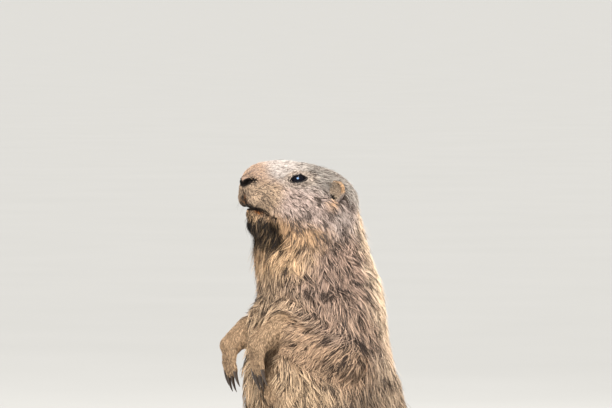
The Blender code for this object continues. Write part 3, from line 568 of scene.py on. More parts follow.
# Where things are on the body, for arrays of points
def near_line(points, ends, reach):
    """1 along a bent line through ends and 0 beyond reach, the line's heading there, and the way along it."""
    best = np.full(len(points), 1e9)
    heading = np.zeros((len(points), 3))
    along = np.zeros(len(points))
    done = 0.0
    for start, end in zip(ends, ends[1:]):
        start, span = np.array(start), np.array(end - start)
        share = np.clip((points - start) @ span / (span @ span), 0, 1)
        gap = np.linalg.norm(points - start - share[:, None] * span, axis=1)
        closer = gap < best
        best[closer] = gap[closer]
        heading[closer] = span / np.linalg.norm(span)
        along[closer] = done + share[closer] * np.linalg.norm(span)
        done += np.linalg.norm(span)
    return smooth(best, reach, reach * 0.75), heading, along


def places(points):
    """Shares of each body part at the points, and the headings of limbs and tail."""
    back, up, out = to_head(points)
    where = {"back": back, "up": up, "out": out, "side": np.abs(out), "height": points[:, 2]}
    above_neck = (points - np.array((0, -0.030, 0.3345))) @ np.array((0, -0.205, 0.979))
    where["head"] = smooth(above_neck, -0.010, 0.014)
    arm, paw, reach = np.zeros(len(points)), np.zeros(len(points)), np.zeros(len(points))
    arm_heading = np.zeros((len(points), 3))
    for side in SIDES:
        elbow, wrist, palm = arm_points(side, ELBOW, WRIST, PALM)
        fingers = palm + Vector((0, 0, -0.04))
        near, heading, along = near_line(points, (elbow, wrist, palm, fingers), ARM_REACH)
        along = along / (wrist - elbow).length
        nearer = near > arm
        arm_heading[nearer] = heading[nearer]
        reach[nearer] = along[nearer]
        arm = np.maximum(arm, near)
        paw = np.maximum(paw, near * smooth(along, 0.72, 1.02))
        heel, instep = side_point(HEEL, side), side_point(INSTEP, side)
        toes = instep + Vector((0, -0.045, -0.008))
        foot = near_line(points, (heel, instep, toes), FOOT_REACH)[0]
        foot = foot * smooth(points[:, 2], 0.040, 0.026) * smooth(points[:, 1], -0.045, -0.060)
        paw = np.maximum(paw, foot)
    where["arm"], where["arm_heading"], where["arm_reach"], where["paw"] = arm, arm_heading, reach, paw
    tail, where["tail_heading"] = near_line(points, TAIL_POINTS, TAIL_REACH)[:2]
    where["tail"] = tail * smooth(points[:, 1], 0.062, 0.082)
    where["haunch"] = smooth(points[:, 2], 0.150, 0.110) * smooth(np.abs(points[:, 0]), 0.045, 0.065)
    where["eye"] = eye_reach(points)
    return where


def eye_axes(side):
    """Across the eye towards its rear corner, up over it, and out along its axis."""
    out = (HEAD_TURN @ Vector((EYE_AXIS.x, EYE_AXIS.y, EYE_AXIS.z * side))).normalized()
    across = HEAD_TURN @ Vector((math.cos(EYE_SLANT), math.sin(EYE_SLANT), 0))
    across = (across - out * across.dot(out)).normalized()
    return across, out.cross(across) * side, out


def eye_reach(points):
    """Distance from the nearer eye's middle, counted in sizes of its almond opening."""
    best = np.full(len(points), 50.0)
    for side in SIDES:
        away = points - np.array(on_head(EYE, side))
        across, over, out = (away @ np.array(axis) for axis in eye_axes(side))
        wide = np.where(across < 0, EYE_FRONT, EYE_REAR) + 0.0004
        tall = np.where(over > 0, EYE_ABOVE, EYE_BELOW) + 0.0006
        reach = np.sqrt((across / wide) ** 2 + (over / tall) ** 2) + 50.0 * (np.abs(out) > 0.02)
        best = np.minimum(best, reach)
    return best


# The mouth's line and gaps on the skin, found once by make_skin
mouth_path = []


def mouth_gap(points):
    """Distance from the line of the mouth, less half its opening there."""
    path, gaps = mouth_path
    best = np.full(len(points), 1.0)
    close = np.linalg.norm(points - np.array(on_head((0.014, -0.023, 0))), axis=1) < 0.045
    for place, gap in zip(path, gaps):
        best[close] = np.minimum(best[close], np.linalg.norm(points[close] - place, axis=1) - gap / 2)
    return best


def nostril_gap(points):
    """Distance from the middle lines of the two nostrils."""
    best = np.full(len(points), 1.0)
    close = np.linalg.norm(points - np.array(on_head(NOSE_PAD)), axis=1) < 0.030
    for side in SIDES:
        for start, end in zip(NOSTRIL, NOSTRIL[1:]):
            for share in np.linspace(0, 1, 12):
                place = np.array(on_head(Vector(start).lerp(Vector(end), share), side))
                best[close] = np.minimum(best[close], np.linalg.norm(points[close] - place, axis=1))
    return best


def coat_depth(points):
    """How far the tips of the coat stand over the skin."""
    at = places(points)
    back, up = at["back"], at["up"]
    head = 0.0009 + 0.0014 * smooth(back, 0.010, 0.050) + 0.0024 * smooth(back, 0.055, 0.100)
    head = head + 0.0026 * smooth(up, -0.014, -0.034) * smooth(back, 0.012, 0.040)
    head = head + 0.0022 * smooth(up, -0.025, -0.032) * smooth(back, 0.040, 0.012)
    head = head * (0.12 + 0.88 * smooth(at["eye"], 1.0, 2.2))
    depth = head * at["head"] + 0.0072 * (1 - at["head"])
    depth = depth * (1 - at["tail"]) + 0.0080 * at["tail"]
    depth = depth * (1 - at["arm"] * (0.30 + 0.35 * smooth(at["arm_reach"], 0.2, 0.9)))
    return depth * (1 - at["paw"]) + 0.0011 * at["paw"]


def even(name, points):
    """One tone for all the points."""
    return np.tile(TONES[name], (len(points), 1))


def painted(colour, *layers):
    """The colours with each layer's tone mixed over them by its share."""
    for name, share in layers:
        colour = blend(colour, TONES[name], share)
    return colour


def markings(points):
    """The coat's light colour, its colour near the skin, and the share of dark hairs, at the points."""
    at = places(points)
    back, up, side, height = at["back"], at["up"], at["side"], at["height"]
    drift = patches(points, 0.022, 11)
    fine = patches(points, 0.008, 12)
    front = smooth(points[:, 1] + 0.30 * (points[:, 2] - 0.25), -0.030, -0.070)
    throat = smooth(points[:, 1], -0.036, -0.056) * smooth(height, 0.296, 0.318)
    behind = smooth(points[:, 1] + 0.004 * drift, -0.010, 0.016) * smooth(height + 0.010 * drift, 0.15, 0.29)
    body = painted(
        even("back", points),
        ("shoulder", smooth(height, 0.20, 0.25)),
        ("neck", smooth(height, 0.26, 0.30)),
        ("chest", front * smooth(height, 0.15, 0.20)),
        ("belly", front * smooth(height, 0.20, 0.14)),
        ("throat", throat),
        # painted light on the throat, where the jaw's shadow falls
        ("pale_fur_and_painted_light", 0.6 * hill(height, 0.324, 0.009) * smooth(points[:, 1], -0.046, -0.060)),
        ("nape", behind),
    )

    rear = smooth(back, 0.068, 0.080) * smooth(up, 0.006, -0.006) * smooth(up, -0.040, -0.028)
    lobe = hill(back, 0.0672, 0.0034) * hill(up, -0.0010, 0.0036)
    # Under the jaw: dark fur and painted shadow together, from the chin's tone, the darkest colour near the
    # skin and more dark hairs
    jaw_line = -0.0262 - 0.50 * np.maximum(back - 0.030, 0)
    jaw_dark_fur_and_shadow = smooth(up - jaw_line + 0.002 * drift, 0.0015, -0.0030) * smooth(back, 0.054, 0.042)
    jaw_dark_fur_and_shadow = jaw_dark_fur_and_shadow * smooth(up, -0.0480, -0.0430)
    strands = patches(points, 0.0040, 14)
    # Painted shade on the muzzle: in the lip's cleft, in the shadow under the upper lip at the muzzle's
    # front, and in a band over the mouth's gap
    wide = 0.0016 + 0.0030 * smooth(up, -0.012, -0.021)
    cleft = np.exp(-(at["out"] / wide) ** 2) * smooth(up, -0.004, -0.008) * smooth(back, 0.018, 0.012)
    slope = side - 0.0030 - 0.9 * np.maximum(-0.0110 - up, 0)
    shade = smooth(slope, 0.0016, -0.0016) * smooth(up, -0.0095, -0.0130) * smooth(back, 0.024, 0.014)
    shade = shade * at["head"]
    flecks = patches(points, 0.0016, 13)
    muzzle_front = smooth(side, 0.013, 0.006) * smooth(up, -0.003, -0.010) * smooth(back, 0.016, 0.007)
    lip_front = shade * smooth(up, -0.0195, -0.0165) * smooth(side, 0.010, 0.007)
    lips = mouth_gap(points)
    near_lips = smooth(lips, 0.0042, 0.0020) * (up > -0.0285)
    upper_lip_shadow = near_lips * smooth(up, -0.0238, -0.0228)
    lower_lip = smooth(lips, 0.0072, 0.0056) * smooth(up, -0.0234, -0.0244) * smooth(back, 0.023, 0.018)
    spot = smooth(lips, 0.0030, 0.0016) * smooth(up, -0.0228, -0.0238) * hill(back, 0.0175, 0.0030)
    head = painted(
        even("cheek", points),
        ("crown", smooth(up, 0.000, 0.014)),
        ("bridge", smooth(back, 0.056, 0.022) * smooth(up + 0.30 * back, 0.010, 0.022)),
        ("muzzle", smooth(back, 0.034, 0.022) * smooth(up, 0.010, 0.000)),
        ("nose_top", smooth(back, 0.020, 0.006) * smooth(up, -0.004, 0.003)),
        ("brow", smooth(at["eye"], 2.6, 1.5)),
        ("jowl", smooth(up, -0.016, -0.028) * smooth(back, 0.016, 0.030)),
        ("behind_ear", 0.65 * rear),
        ("ear_rim", 0.9 * lobe),
        # dark fur and painted shadow under the jaw
        ("chin", jaw_dark_fur_and_shadow * (0.78 + 0.20 * smooth(strands, 0.4, -0.4))),
        ("brown_and_shade", 0.30 * muzzle_front),
        # Painted shade under the upper lip, in the lip's cleft and over the mouth's gap
        ("brown_and_shade", 0.55 * shade),
        ("darkest", 0.9 * np.maximum(cleft, 0.7 * shade * smooth(flecks, 0.4, 0.0))),
        ("lip_spot", 0.70 * lip_front * smooth(flecks, 0.35, 0.85)),
        ("nape", smooth(back, 0.092, 0.110)),
        ("darkest", 0.85 * upper_lip_shadow * smooth(back, 0.034, 0.022)),
        # painted light on the lower lip, in the upper lip's shadow
        ("pale_fur_and_painted_light", 0.80 * lower_lip * smooth(up, -0.0315, -0.0295)),
        ("lip_spot", spot),
    )

    collar = hill(height, 0.334, 0.008) * smooth(points[:, 1], -0.048, -0.062)
    tip = painted(
        blend(body, head, at["head"]),
        ("chin", 0.25 * collar * (1 - at["head"])),
        ("forearm", at["arm"] * 0.85),
        ("foot", at["paw"]),
        ("tail", at["tail"]),
        ("tail_tip", at["tail"] * smooth(points[:, 1], 0.130, 0.185)),
    )
    under = painted(
        even("under_body", points),
        ("under_head", at["head"] * (1 - jaw_dark_fur_and_shadow)),
        # Darkest near the skin in the painted shadow under the jaw and the upper lip
        ("darkest", 0.8 * np.maximum(jaw_dark_fur_and_shadow * at["head"], np.maximum(shade, upper_lip_shadow))),
        ("cheek", 0.5 * smooth(back, 0.050, 0.030) * smooth(up, -0.002, 0.010) * at["head"]),
        ("under_low", smooth(height, 0.24, 0.16) * (1 - at["head"])),
    )
    under = blend(under, 0.50 * tip, 0.75 * at["paw"])

    ochre = smooth(height, 0.285, 0.300) * smooth(points[:, 1], -0.005, -0.025) * (1 - at["head"])
    dark = 0.46 - 0.12 * at["head"] - 0.26 * behind - 0.10 * ochre
    bridge = smooth(back, 0.062, 0.030) * smooth(up + 0.30 * back, 0.010, 0.024)
    dark = dark - 0.20 * smooth(back, 0.050, 0.030) * at["head"] - 0.10 * rear * at["head"]
    dark = dark - 0.14 * bridge - 0.08 * smooth(up, 0.006, 0.014) * at["head"]
    jowl = smooth(up, -0.010, -0.024) * smooth(back, 0.014, 0.026) * at["head"]
    dark = dark + 0.06 * jowl + (0.46 - 0.10 * strands) * jaw_dark_fur_and_shadow * at["head"]
    # Fewer dark hairs on the lower lip as painted light, and more under the upper lip as painted shade
    dark = dark - 0.55 * lower_lip + 0.25 * shade
    dark = dark - (0.16 * front + 0.26 * throat) * (1 - at["head"])
    dark = dark * (1 - 0.75 * at["paw"]) * (1 - 0.35 * at["arm"]) + 0.15 * at["tail"]
    reach = (1 - at["paw"]) * (1 - 0.5 * smooth(back, 0.05, 0.03) * at["head"]) * (1 - 0.8 * bridge)
    dark = dark + (0.05 * drift + 0.06 * fine) * reach
    return tip, under, np.clip(dark, 0.02, 0.9)


def coat_lie(points):
    """The way the coat lies, before it is flattened onto the skin."""
    at = places(points)
    back, up = at["back"], at["up"]
    fan = unit(points - np.array(on_head((-0.008, -0.001, 0))))
    drop = 0.10 + 0.75 * smooth(up, 0.010, -0.026) + 0.5 * smooth(back, 0.070, 0.100)
    drop = drop * smooth(back, 0.016, 0.040)
    chin = smooth(up, -0.024, -0.030) * smooth(back, 0.055, 0.040)
    spread = 0.22 * smooth(up, 0.000, -0.030) * np.sign(at["out"]) * (1 - chin)
    head = fan * (1 - 0.75 * chin[:, None]) - np.array(UP) * (drop + 0.8 * chin)[:, None]
    head = head + np.array(OUT) * spread[:, None]
    for side in SIDES:
        away = unit(points - np.array(on_head(EYE, side)))
        close = smooth(at["eye"], 2.4, 1.2) * (points[:, 0] * side > 0)
        into = np.minimum((head * away).sum(1), 0)
        head = head + away * ((0.25 - 0.9 * into) * close)[:, None]
    side_share = np.clip(points[:, 0] / 0.05, -1, 1)
    body = np.stack((0.20 * side_share, np.full(len(points), 0.06), np.full(len(points), -1.0)), axis=1)
    body[:, 1] += 0.45 * at["haunch"]
    ruff = smooth(at["height"], 0.215, 0.255)
    body[:, 1] += 0.50 * ruff * np.clip((points[:, 1] + 0.030) / 0.050, -1, 1)
    throat = smooth(points[:, 1], -0.042, -0.058) * smooth(at["height"], 0.296, 0.318)
    body[:, 1] -= 1.0 * throat
    front = smooth(points[:, 1], -0.04, -0.07)
    body[:, 0] += 0.22 * front * np.sign(points[:, 0])
    lie = blend(body, head, at["head"])
    limbs = at["arm_heading"] * 0.55 + np.array((0, 0.25, -0.55))
    lie = blend(lie, limbs, at["arm"])
    foot = at["paw"] * smooth(points[:, 2], 0.10, 0.05)
    lie = blend(lie, np.array((0, -1, -0.25)), foot)
    return blend(lie, at["tail_heading"], at["tail"])


def before_ear(points):
    """1 just ahead of and below the ears, where the cheek's hair rises over their edges."""
    found = np.zeros(len(points))
    for side in SIDES:
        local = in_ear(points, side)
        near = hill(local[:, 0], -0.0115, 0.0045) * hill(local[:, 1], -0.0040, 0.0090)
        near = near + hill(local[:, 0], -0.003, 0.0060) * hill(local[:, 1], -0.0125, 0.0035)
        found = np.maximum(found, near * (points[:, 0] * side > 0))
    return np.minimum(found, 1)


def coat_stand(points):
    """How much more than usual the coat stands off the skin."""
    at = places(points)
    throat = smooth(points[:, 1], -0.045, -0.062) * smooth(at["height"], 0.285, 0.310)
    throat = throat * smooth(at["height"], 0.352, 0.338)
    chin = smooth(at["up"], -0.028, -0.034) * (1.2 - 0.85 * smooth(at["back"], 0.012, 0.030)) * at["head"]
    nape = smooth(points[:, 1], 0.005, 0.020) * smooth(at["height"], 0.240, 0.280)
    return 1 + 0.15 * throat + chin - 0.25 * nape + 0.9 * before_ear(points)


def flattened(vectors, normals):
    """Vectors laid onto the surface, at unit length."""
    return unit(vectors - normals * (vectors * normals).sum(1)[:, None])


# The skin
def eye_frame(side):
    across, over, out = eye_axes(side)
    return Matrix((across, out.cross(across), out)).transposed()


def find_mouth(tree):
    """The line of the mouth round the muzzle from corner to corner, on the skin."""
    table = np.array(MOUTH)
    place = on_head((MOUTH_MIDDLE, 0, 0))
    path, gaps = [], []
    for angle in np.radians(np.linspace(-84, 84, 85)):
        outward = -BACK * math.cos(angle) + OUT * math.sin(angle)
        up = MOUTH[1][1]
        for attempt in range(3):
            start = place + UP * up + outward * 0.08
            hit = tree.ray_cast(start, -outward)[0]
            back = (hit - NOSE_TIP).dot(BACK)
            up = float(np.interp(back, table[:, 0], table[:, 1]))
        path.append(hit)
        gaps.append(float(np.interp(back, table[:, 0], MOUTH_GAPS)))
    return path, gaps


def mouth_cutter():
    """A wedge along the mouth's line, as deep inside as outside, and as wide as the gap on the line."""
    path, gaps = mouth_path
    shape = bmesh.new()
    loops = []
    middle = on_head((MOUTH_MIDDLE, 0, 0))
    for place, gap in zip(path, gaps):
        outward = Vector(place) - middle
        outward = (outward - UP * outward.dot(UP)).normalized()
        outside = outward * MOUTH_CUT
        corners = (outside + UP * gap, outside - UP * gap, -outside)
        loops.append([shape.verts.new(Vector(place) + corner) for corner in corners])
    join_loops(shape, loops)
    shape.faces.new(loops[0])
    shape.faces.new(loops[-1])
    return from_bmesh("mouth_cutter", shape)


def nostril_cutter(side):
    ends = [on_head(place, side) for place in NOSTRIL]
    return fused("nostril", [limb("bore", ends, NOSTRIL_RADII, 16)], 0.0003, 2)


class Surface:
    """The skin's triangles, for roots, and a tree for finding the nearest place on it."""

    def __init__(self, obj):
        mesh = obj.data
        mesh.calc_loop_triangles()
        self.points = per_vertex(mesh, "co")
        flat = np.empty(len(mesh.loop_triangles) * 3, dtype=np.int64)
        mesh.loop_triangles.foreach_get("vertices", flat)
        self.corners = flat.reshape(-1, 3)
        self.vertex_normals = per_vertex(mesh, "normal")
        a, b, c = (self.points[self.corners[:, i]] for i in range(3))
        self.areas = np.linalg.norm(np.cross(b - a, c - a), axis=1) / 2
        self.middles = (a + b + c) / 3
        self.tree = BVHTree.FromPolygons(self.points.tolist(), self.corners.tolist())

    def scatter(self, density, chance):
        """Random roots with that many to a square metre, and their normals."""
        wanted = self.areas * density
        count = int(wanted.sum())
        faces = chance.choice(len(self.areas), count, p=wanted / wanted.sum())
        weights = chance.dirichlet((1, 1, 1), count)
        corners = self.corners[faces]
        roots = (self.points[corners] * weights[:, :, None]).sum(1)
        normals = (self.vertex_normals[corners] * weights[:, :, None]).sum(1)
        return roots, unit(normals)

    def nearest(self, points):
        """The nearest places on the skin, and the smooth normals there."""
        found = [self.tree.find_nearest(point)[0::2] for point in points.tolist()]
        places_found = np.array([tuple(place) for place, face in found])
        faces = np.array([face for place, face in found])
        normals = self.vertex_normals[self.corners[faces]].mean(1)
        return places_found, unit(normals)


def make_skin():
    """The whole body's surface, set in by the depth of the coat, with open eyes and a mouth."""
    skin = fused("skin", body_parts(), SKIN_VOXEL, SKIN_ROUNDS)
    points, normals = per_vertex(skin.data, "co"), per_vertex(skin.data, "normal")
    at = places(points)
    slim = 0.0018 * smooth(at["up"], -0.007, -0.014) * smooth(at["back"], 0.026, 0.010)
    slim += 0.0014 * smooth(at["up"], -0.026, -0.032) * smooth(at["back"], 0.030, 0.014)
    cleft = hill(at["out"], 0, 0.0014) * 0.0016
    slim += cleft * smooth(at["up"], -0.005, -0.009) * smooth(at["back"], 0.026, 0.016)
    points = points - normals * coat_depth(points)[:, None] + np.array(BACK) * slim[:, None]
    points[:, 2] = np.maximum(points[:, 2], SKIN_FLOOR)
    skin.data.vertices.foreach_set("co", points.ravel())
    skin.data.update()
    tree = Surface(skin).tree
    path, gaps = find_mouth(tree)
    mouth_path.extend((np.array(path), gaps))
    for side, label in SIDES.items():
        make_lids(side, label, tree)
        centre = on_head(EYE, side)
        turn = eye_frame(side)
        skin = cut_by(skin, ellipsoid("socket", centre, (EYE_RADIUS + 0.0002,) * 3, turn, CUTTER_SEGMENTS))
        reach = EYE_RADIUS + 0.004
        middle = centre + turn @ Vector(((EYE_REAR - EYE_FRONT) / 2, 0, reach))
        size = ((EYE_FRONT + EYE_REAR) / 2 + 0.0008, EYE_ABOVE + 0.0008, reach)
        skin = cut_by(skin, ellipsoid("opening", middle, size, turn, CUTTER_SEGMENTS))
        radii = tuple(radius * 0.96 for radius in EAR_RADII)
        pocket = ellipsoid("ear_pocket", on_head(EAR, side), radii, ear_turn(side), CUTTER_SEGMENTS)
        skin = cut_by(skin, pocket)
        skin = cut_by(skin, nostril_cutter(side))
    return cut_by(skin, mouth_cutter())


def new_look(name, inputs):
    """A material with the given inputs on its shader, that shader, and the tree of nodes."""
    material = bpy.data.materials.new(name)
    material.use_nodes = True
    shader = material.node_tree.nodes["Principled BSDF"]
    for key, value in inputs.items():
        shader.inputs[key].default_value = value
    return material, shader, material.node_tree


def new_node(tree, kind, inputs=None, **settings):
    """A shader node, whose inputs are values or other nodes' outputs."""
    node = tree.nodes.new("ShaderNode" + kind)
    for key, value in settings.items():
        setattr(node, key, value)
    for key, value in (inputs or {}).items():
        if isinstance(value, bpy.types.NodeSocket):
            tree.links.new(value, node.inputs[key])
        else:
            node.inputs[key].default_value = value
    return node


def finish_look(tree, shader, colour, height, strength, depth):
    """Links the colour, and a bump from height, to the shader."""
    tree.links.new(colour, shader.inputs["Base Color"])
    bump = new_node(tree, "Bump", {"Strength": strength, "Distance": depth, "Height": height})
    tree.links.new(bump.outputs["Normal"], shader.inputs["Normal"])


def skin_material():
    material, shader, tree = new_look("marmot_skin", {"Roughness": 0.85, "Specular IOR Level": 0.2})
    colour = new_node(tree, "Attribute", attribute_name="tint").outputs["Color"]
    coords = new_node(tree, "TexCoord").outputs["Object"]
    fleck = new_node(tree, "TexNoise", {"Vector": coords, "Scale": 900, "Detail": 3}).outputs["Fac"]
    shades = {"Fac": 0.5, "Color1": colour, "Color2": fleck}
    shade = new_node(tree, "MixRGB", shades, blend_type="MULTIPLY").outputs["Color"]
    finish_look(tree, shader, shade, fleck, 0.6, 0.0006)
    return material


def coat_material(name, gloss):
    """Hair in the colours that each tuft carries, streaked along its strands."""
    material, shader, tree = new_look(name, {"Roughness": gloss, "Specular IOR Level": 0.30})
    colour = new_node(tree, "Attribute", attribute_name="tint").outputs["Color"]
    strand = new_node(tree, "Attribute", attribute_name="strand").outputs["Vector"]
    fibre = new_node(tree, "TexNoise", {"Vector": strand, "Scale": 1.0, "Detail": 2}).outputs["Fac"]
    limits = {"Value": fibre, "From Min": 0.3, "From Max": 0.7, "To Min": 0.66, "To Max": 1.26}
    lift = new_node(tree, "MapRange", limits).outputs["Result"]
    shade = new_node(tree, "VectorMath", {0: colour, "Scale": lift}, operation="SCALE").outputs["Vector"]
    finish_look(tree, shader, shade, fibre, 0.4, 0.0002)
    return material


# The coat
def clump_of(roots, clumps):
    tree = KDTree(len(clumps))
    for i, place in enumerate(clumps.tolist()):
        tree.insert(place, i)
    tree.balance()
    return np.array([tree.find(root)[1] for root in roots.tolist()])


def turned(vectors, axes, angles):
    """Vectors turned about unit axes that are square to them."""
    return vectors * np.cos(angles)[:, None] + np.cross(axes, vectors) * np.sin(angles)[:, None]


def unwrap(points):
    """Each part's own unwrap: round and along the head, the trunk or the tail."""
    at = places(points)
    head_angle = np.arctan2(at["up"] + 0.008, at["out"])
    trunk_angle = np.arctan2(points[:, 0], points[:, 1] + 0.015)
    round_it = np.where(at["head"] > 0.5, head_angle, trunk_angle) / (2 * math.pi) + 0.5
    along = np.where(at["head"] > 0.5, 0.72 + 2.2 * at["back"], points[:, 2] * 2.0)
    tail_share = (points[:, 1] - 0.06) / 0.16
    tail_angle = np.arctan2(points[:, 2] - 0.02, points[:, 0] - tail_share * 0.08) / (2 * math.pi) + 0.5
    round_it = np.where(at["tail"] > 0.5, tail_angle, round_it)
    along = np.where(at["tail"] > 0.5, tail_share, along)
    return np.stack((0.01 + 0.97 * round_it, 0.01 + 0.97 * np.clip(along, 0, 1)), axis=1)


def tuft_mesh(name, points):
    """A mesh of tufts of two rings of three points and a tip, its faces' corners, and how many triangles."""
    count, per = points.shape[:2]
    base = (np.arange(count) * per)[:, None]
    quads = np.concatenate([base + np.array(face) for face in ((0, 1, 4, 3), (1, 2, 5, 4))])
    thirds = np.concatenate([base + np.array(face) for face in ((3, 4, 6), (4, 5, 6))])
    corners = np.concatenate((quads.ravel(), thirds.ravel()))
    starts = np.concatenate((np.arange(len(quads)) * 4, len(quads) * 4 + np.arange(len(thirds)) * 3))
    mesh = bpy.data.meshes.new(name)
    mesh.vertices.add(count * per)
    mesh.loops.add(len(corners))
    mesh.polygons.add(len(starts))
    mesh.vertices.foreach_set("co", points.ravel())
    mesh.polygons.foreach_set("loop_start", starts.astype(np.int32))
    mesh.loops.foreach_set("vertex_index", corners.astype(np.int32))
    mesh.update(calc_edges=True)
    mesh.polygons.foreach_set("use_smooth", np.ones(len(starts), dtype=bool))
    return mesh, corners, len(quads) * 2 + len(thirds)


def lay_tufts(name, surface, density, shape, material, seed):
    """One coat piece: tapering tufts that follow the skin from their roots and gather towards clumps.

    density gives tufts to a square metre for triangles' middles. shape holds functions of the roots for the
    tufts' length, half width, lie, depth, stand and colours, and the numbers for their clumps: clump_share,
    gather, wildness, swirl, loose, streaks and grain.
    """
    chance = np.random.default_rng(seed)
    lie_of, depth_of = shape.get("lie", coat_lie), shape.get("depth", coat_depth)
    roots, normals = surface.scatter(density(surface.middles) * (1), chance)
    count = len(roots)
    length = shape["length"](roots) * chance.uniform(*TUFT_LENGTHS, count)
    half_width = shape["half_width"](roots) * chance.uniform(*TUFT_WIDTHS, count)
    lie = flattened(lie_of(roots), normals)

    picked = chance.random(count) < shape["clump_share"] * 1
    picked[:3] = True
    clumps = picked.sum()
    owner = clump_of(roots, roots[picked])
    clump_turn = chance.normal(0, shape["wildness"], clumps)[owner]
    clump_lift = chance.uniform(*CLUMP_LIFTS, clumps)[owner]
    clump_tone = chance.normal(0, 1, clumps)[owner]
    angles = clump_turn + chance.normal(0, shape["wildness"] * 0.60, count)
    angles = angles + shape.get("swirl", 0.0) * patches(roots, 0.030, seed + 7)
    lie = turned(lie, normals, angles)

    middles, middle_normals = surface.nearest(roots + lie * (0.5 * length)[:, None])
    onward = flattened(lie_of(middles), middle_normals)
    onward = turned(onward, middle_normals, angles)
    ends, end_normals = surface.nearest(middles + onward * (0.5 * length)[:, None])
    loose = np.where(chance.random(count) < shape.get("loose", 0.06), LOOSE_LIFT, 1.0)
    lift = depth_of(roots) * shape.get("stand", constant(1.0))(roots) * clump_lift * loose
    lift = lift * chance.uniform(*TUFT_LIFTS, count)
    ends = ends + end_normals * lift[:, None]
    middles = middles + middle_normals * (0.60 * lift)[:, None]
    starts = roots - normals * ROOT_DEPTH
    clump_end = np.zeros((clumps, 3))
    np.add.at(clump_end, owner, ends)
    clump_end /= np.maximum(np.bincount(owner, minlength=clumps), 1)[:, None]
    pull = shape["gather"] * chance.uniform(*GATHERS, count)
    ends = ends + (clump_end[owner] - ends) * pull[:, None]
    middles = middles + (clump_end[owner] - ends) * (0.18 * pull)[:, None]

    bend = 2 * middles - 0.5 * (starts + ends)
    roll = chance.normal(0, TUFT_ROLL, count)
    ring_points, ring_side, ring_along = [], [], []
    for t, width in TUFT_RINGS:
        place = starts * (1 - t) ** 2 + bend * (2 * t * (1 - t)) + ends * t * t
        heading = unit((bend - starts) * (1 - t) + (ends - bend) * t)
        across = turned(unit(np.cross(heading, normals)), heading, roll)
        ridge = np.cross(across, heading)
        w = (half_width * width)[:, None]
        for side, offset in ((-1, -across * w), (0, ridge * w * TUFT_RIDGE), (1, across * w)):
            ring_points.append(place + offset)
            ring_side.append(side)
            ring_along.append(t)
    ring_points.append(ends)
    ring_side.append(0)
    ring_along.append(1.0)
    ring_side, ring_along = np.array(ring_side), np.array(ring_along)
    per = len(ring_points)
    points = np.stack(ring_points, axis=1)
    points[:, :, 2] = np.maximum(points[:, :, 2], TUFT_FLOOR)
    mesh, corners, triangles = tuft_mesh(name, points)

    light, under, dark = shape.get("colours", markings)(roots)
    is_dark = (chance.random(count) < dark + shape.get("streaks", 0.12) * clump_tone)[:, None]
    dark_tone = 0.42 * under + 0.05 * light
    tip = np.where(is_dark, dark_tone, light)
    grain = shape.get("grain", 0.26) * (1 - 0.6 * smooth(light.mean(1), 0.50, 0.75))
    tip = tip * np.clip(1 + 0.10 * clump_tone + grain * chance.normal(0, 1, count), 0.45, 1.7)[:, None]
    half = np.where(is_dark, 0.5 * under + 0.5 * tip, 0.25 * under + 0.75 * tip)
    root = 0.62 * under + 0.06 * light
    tinted = np.stack([root] * 3 + [half] * 3 + [tip], axis=1)
    # Painted shade along each tuft's edges and painted light along its ridge
    tinted = tinted * np.where(ring_side == 0, 1.06, 0.80)[None, :, None]
    colour_layer(mesh, "tint", tinted.reshape(-1, 3))
    strand = np.zeros((count, per, 3))
    strand[:, :, 0] = (ring_side * (1 - ring_along) * 2.2)[None, :] + chance.uniform(0, 500, count)[:, None]
    strand[:, :, 1] = ring_along[None, :] * 1.3
    mesh.attributes.new("strand", "FLOAT_VECTOR", "POINT").data.foreach_set("vector", strand.ravel())

    patch = np.stack((ring_side * 0.5, ring_along - 0.5), axis=1) * 0.003
    uv = unwrap(roots)[:, None, :] + patch[None, :, :]
    mesh.uv_layers.new(name="OFBake").data.foreach_set("uv", uv.reshape(-1, 2)[corners].ravel())
    mesh.materials.append(material)
    piece = add(name, mesh)
    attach(piece, "root")
    print("coat piece", name, count, "tufts", triangles, "triangles")
    return piece


def in_ear(points, side):
    """Places in the ear's own frame: back, up and out of its middle."""
    away = points - np.array(on_head(EAR, side))
    return away @ np.array(ear_turn(side))


def ear_turn(side):
    return HEAD_TURN @ Matrix.Rotation(-EAR_AXIS_TURN * side, 3, "Y") @ Matrix.Rotation(-EAR_LEAN, 3, "Z")


def clear_of_face(points):
    """0 over the eyes, nostrils, mouth and ears, 1 elsewhere."""
    clear = smooth(eye_reach(points), 0.96, 1.08)
    for side in SIDES:
        local = in_ear(points, side) / np.array(EAR_RADII)
        clear *= smooth(np.linalg.norm(local, axis=1), 0.95, 1.15)
    away = (points - np.array(on_head(NOSE_PAD))) @ np.array(HEAD_TURN)
    pad = np.sqrt(((away / np.array(NOSE_PAD_RADII)) ** 2).sum(1))
    bare = smooth(pad, 0.96, 1.06)
    bare = np.maximum(bare, smooth(away[:, 1], 0.0030, 0.0042))
    clear = clear * smooth(nostril_gap(points), 0.0020, 0.0028)
    return clear * bare * smooth(mouth_gap(points), 0.0006, 0.0016)


def head_length(points):
    at = places(points)
    back, up = at["back"], at["up"]
    length = 0.0026 + 0.0046 * smooth(back, 0.008, 0.045) + 0.0060 * smooth(back, 0.052, 0.095)
    length = length + 0.0085 * smooth(up, -0.012, -0.034) * smooth(back, 0.016, 0.042)
    chin = smooth(up, -0.0275, -0.031) * smooth(back, 0.060, 0.045)
    length = length + 0.0060 * chin + 0.0015 * before_ear(points)
    lips = smooth(mouth_gap(points), 0.0005, 0.006)
    return length * (0.30 + 0.70 * smooth(at["eye"], 1.1, 2.8)) * (0.45 + 0.55 * lips)


def head_width(points):
    at = places(points)
    width = 0.00018 + 0.00015 * smooth(at["back"], 0.015, 0.060)
    return width + 0.00014 * smooth(at["up"], -0.010, -0.035) * smooth(at["back"], 0.012, 0.030)


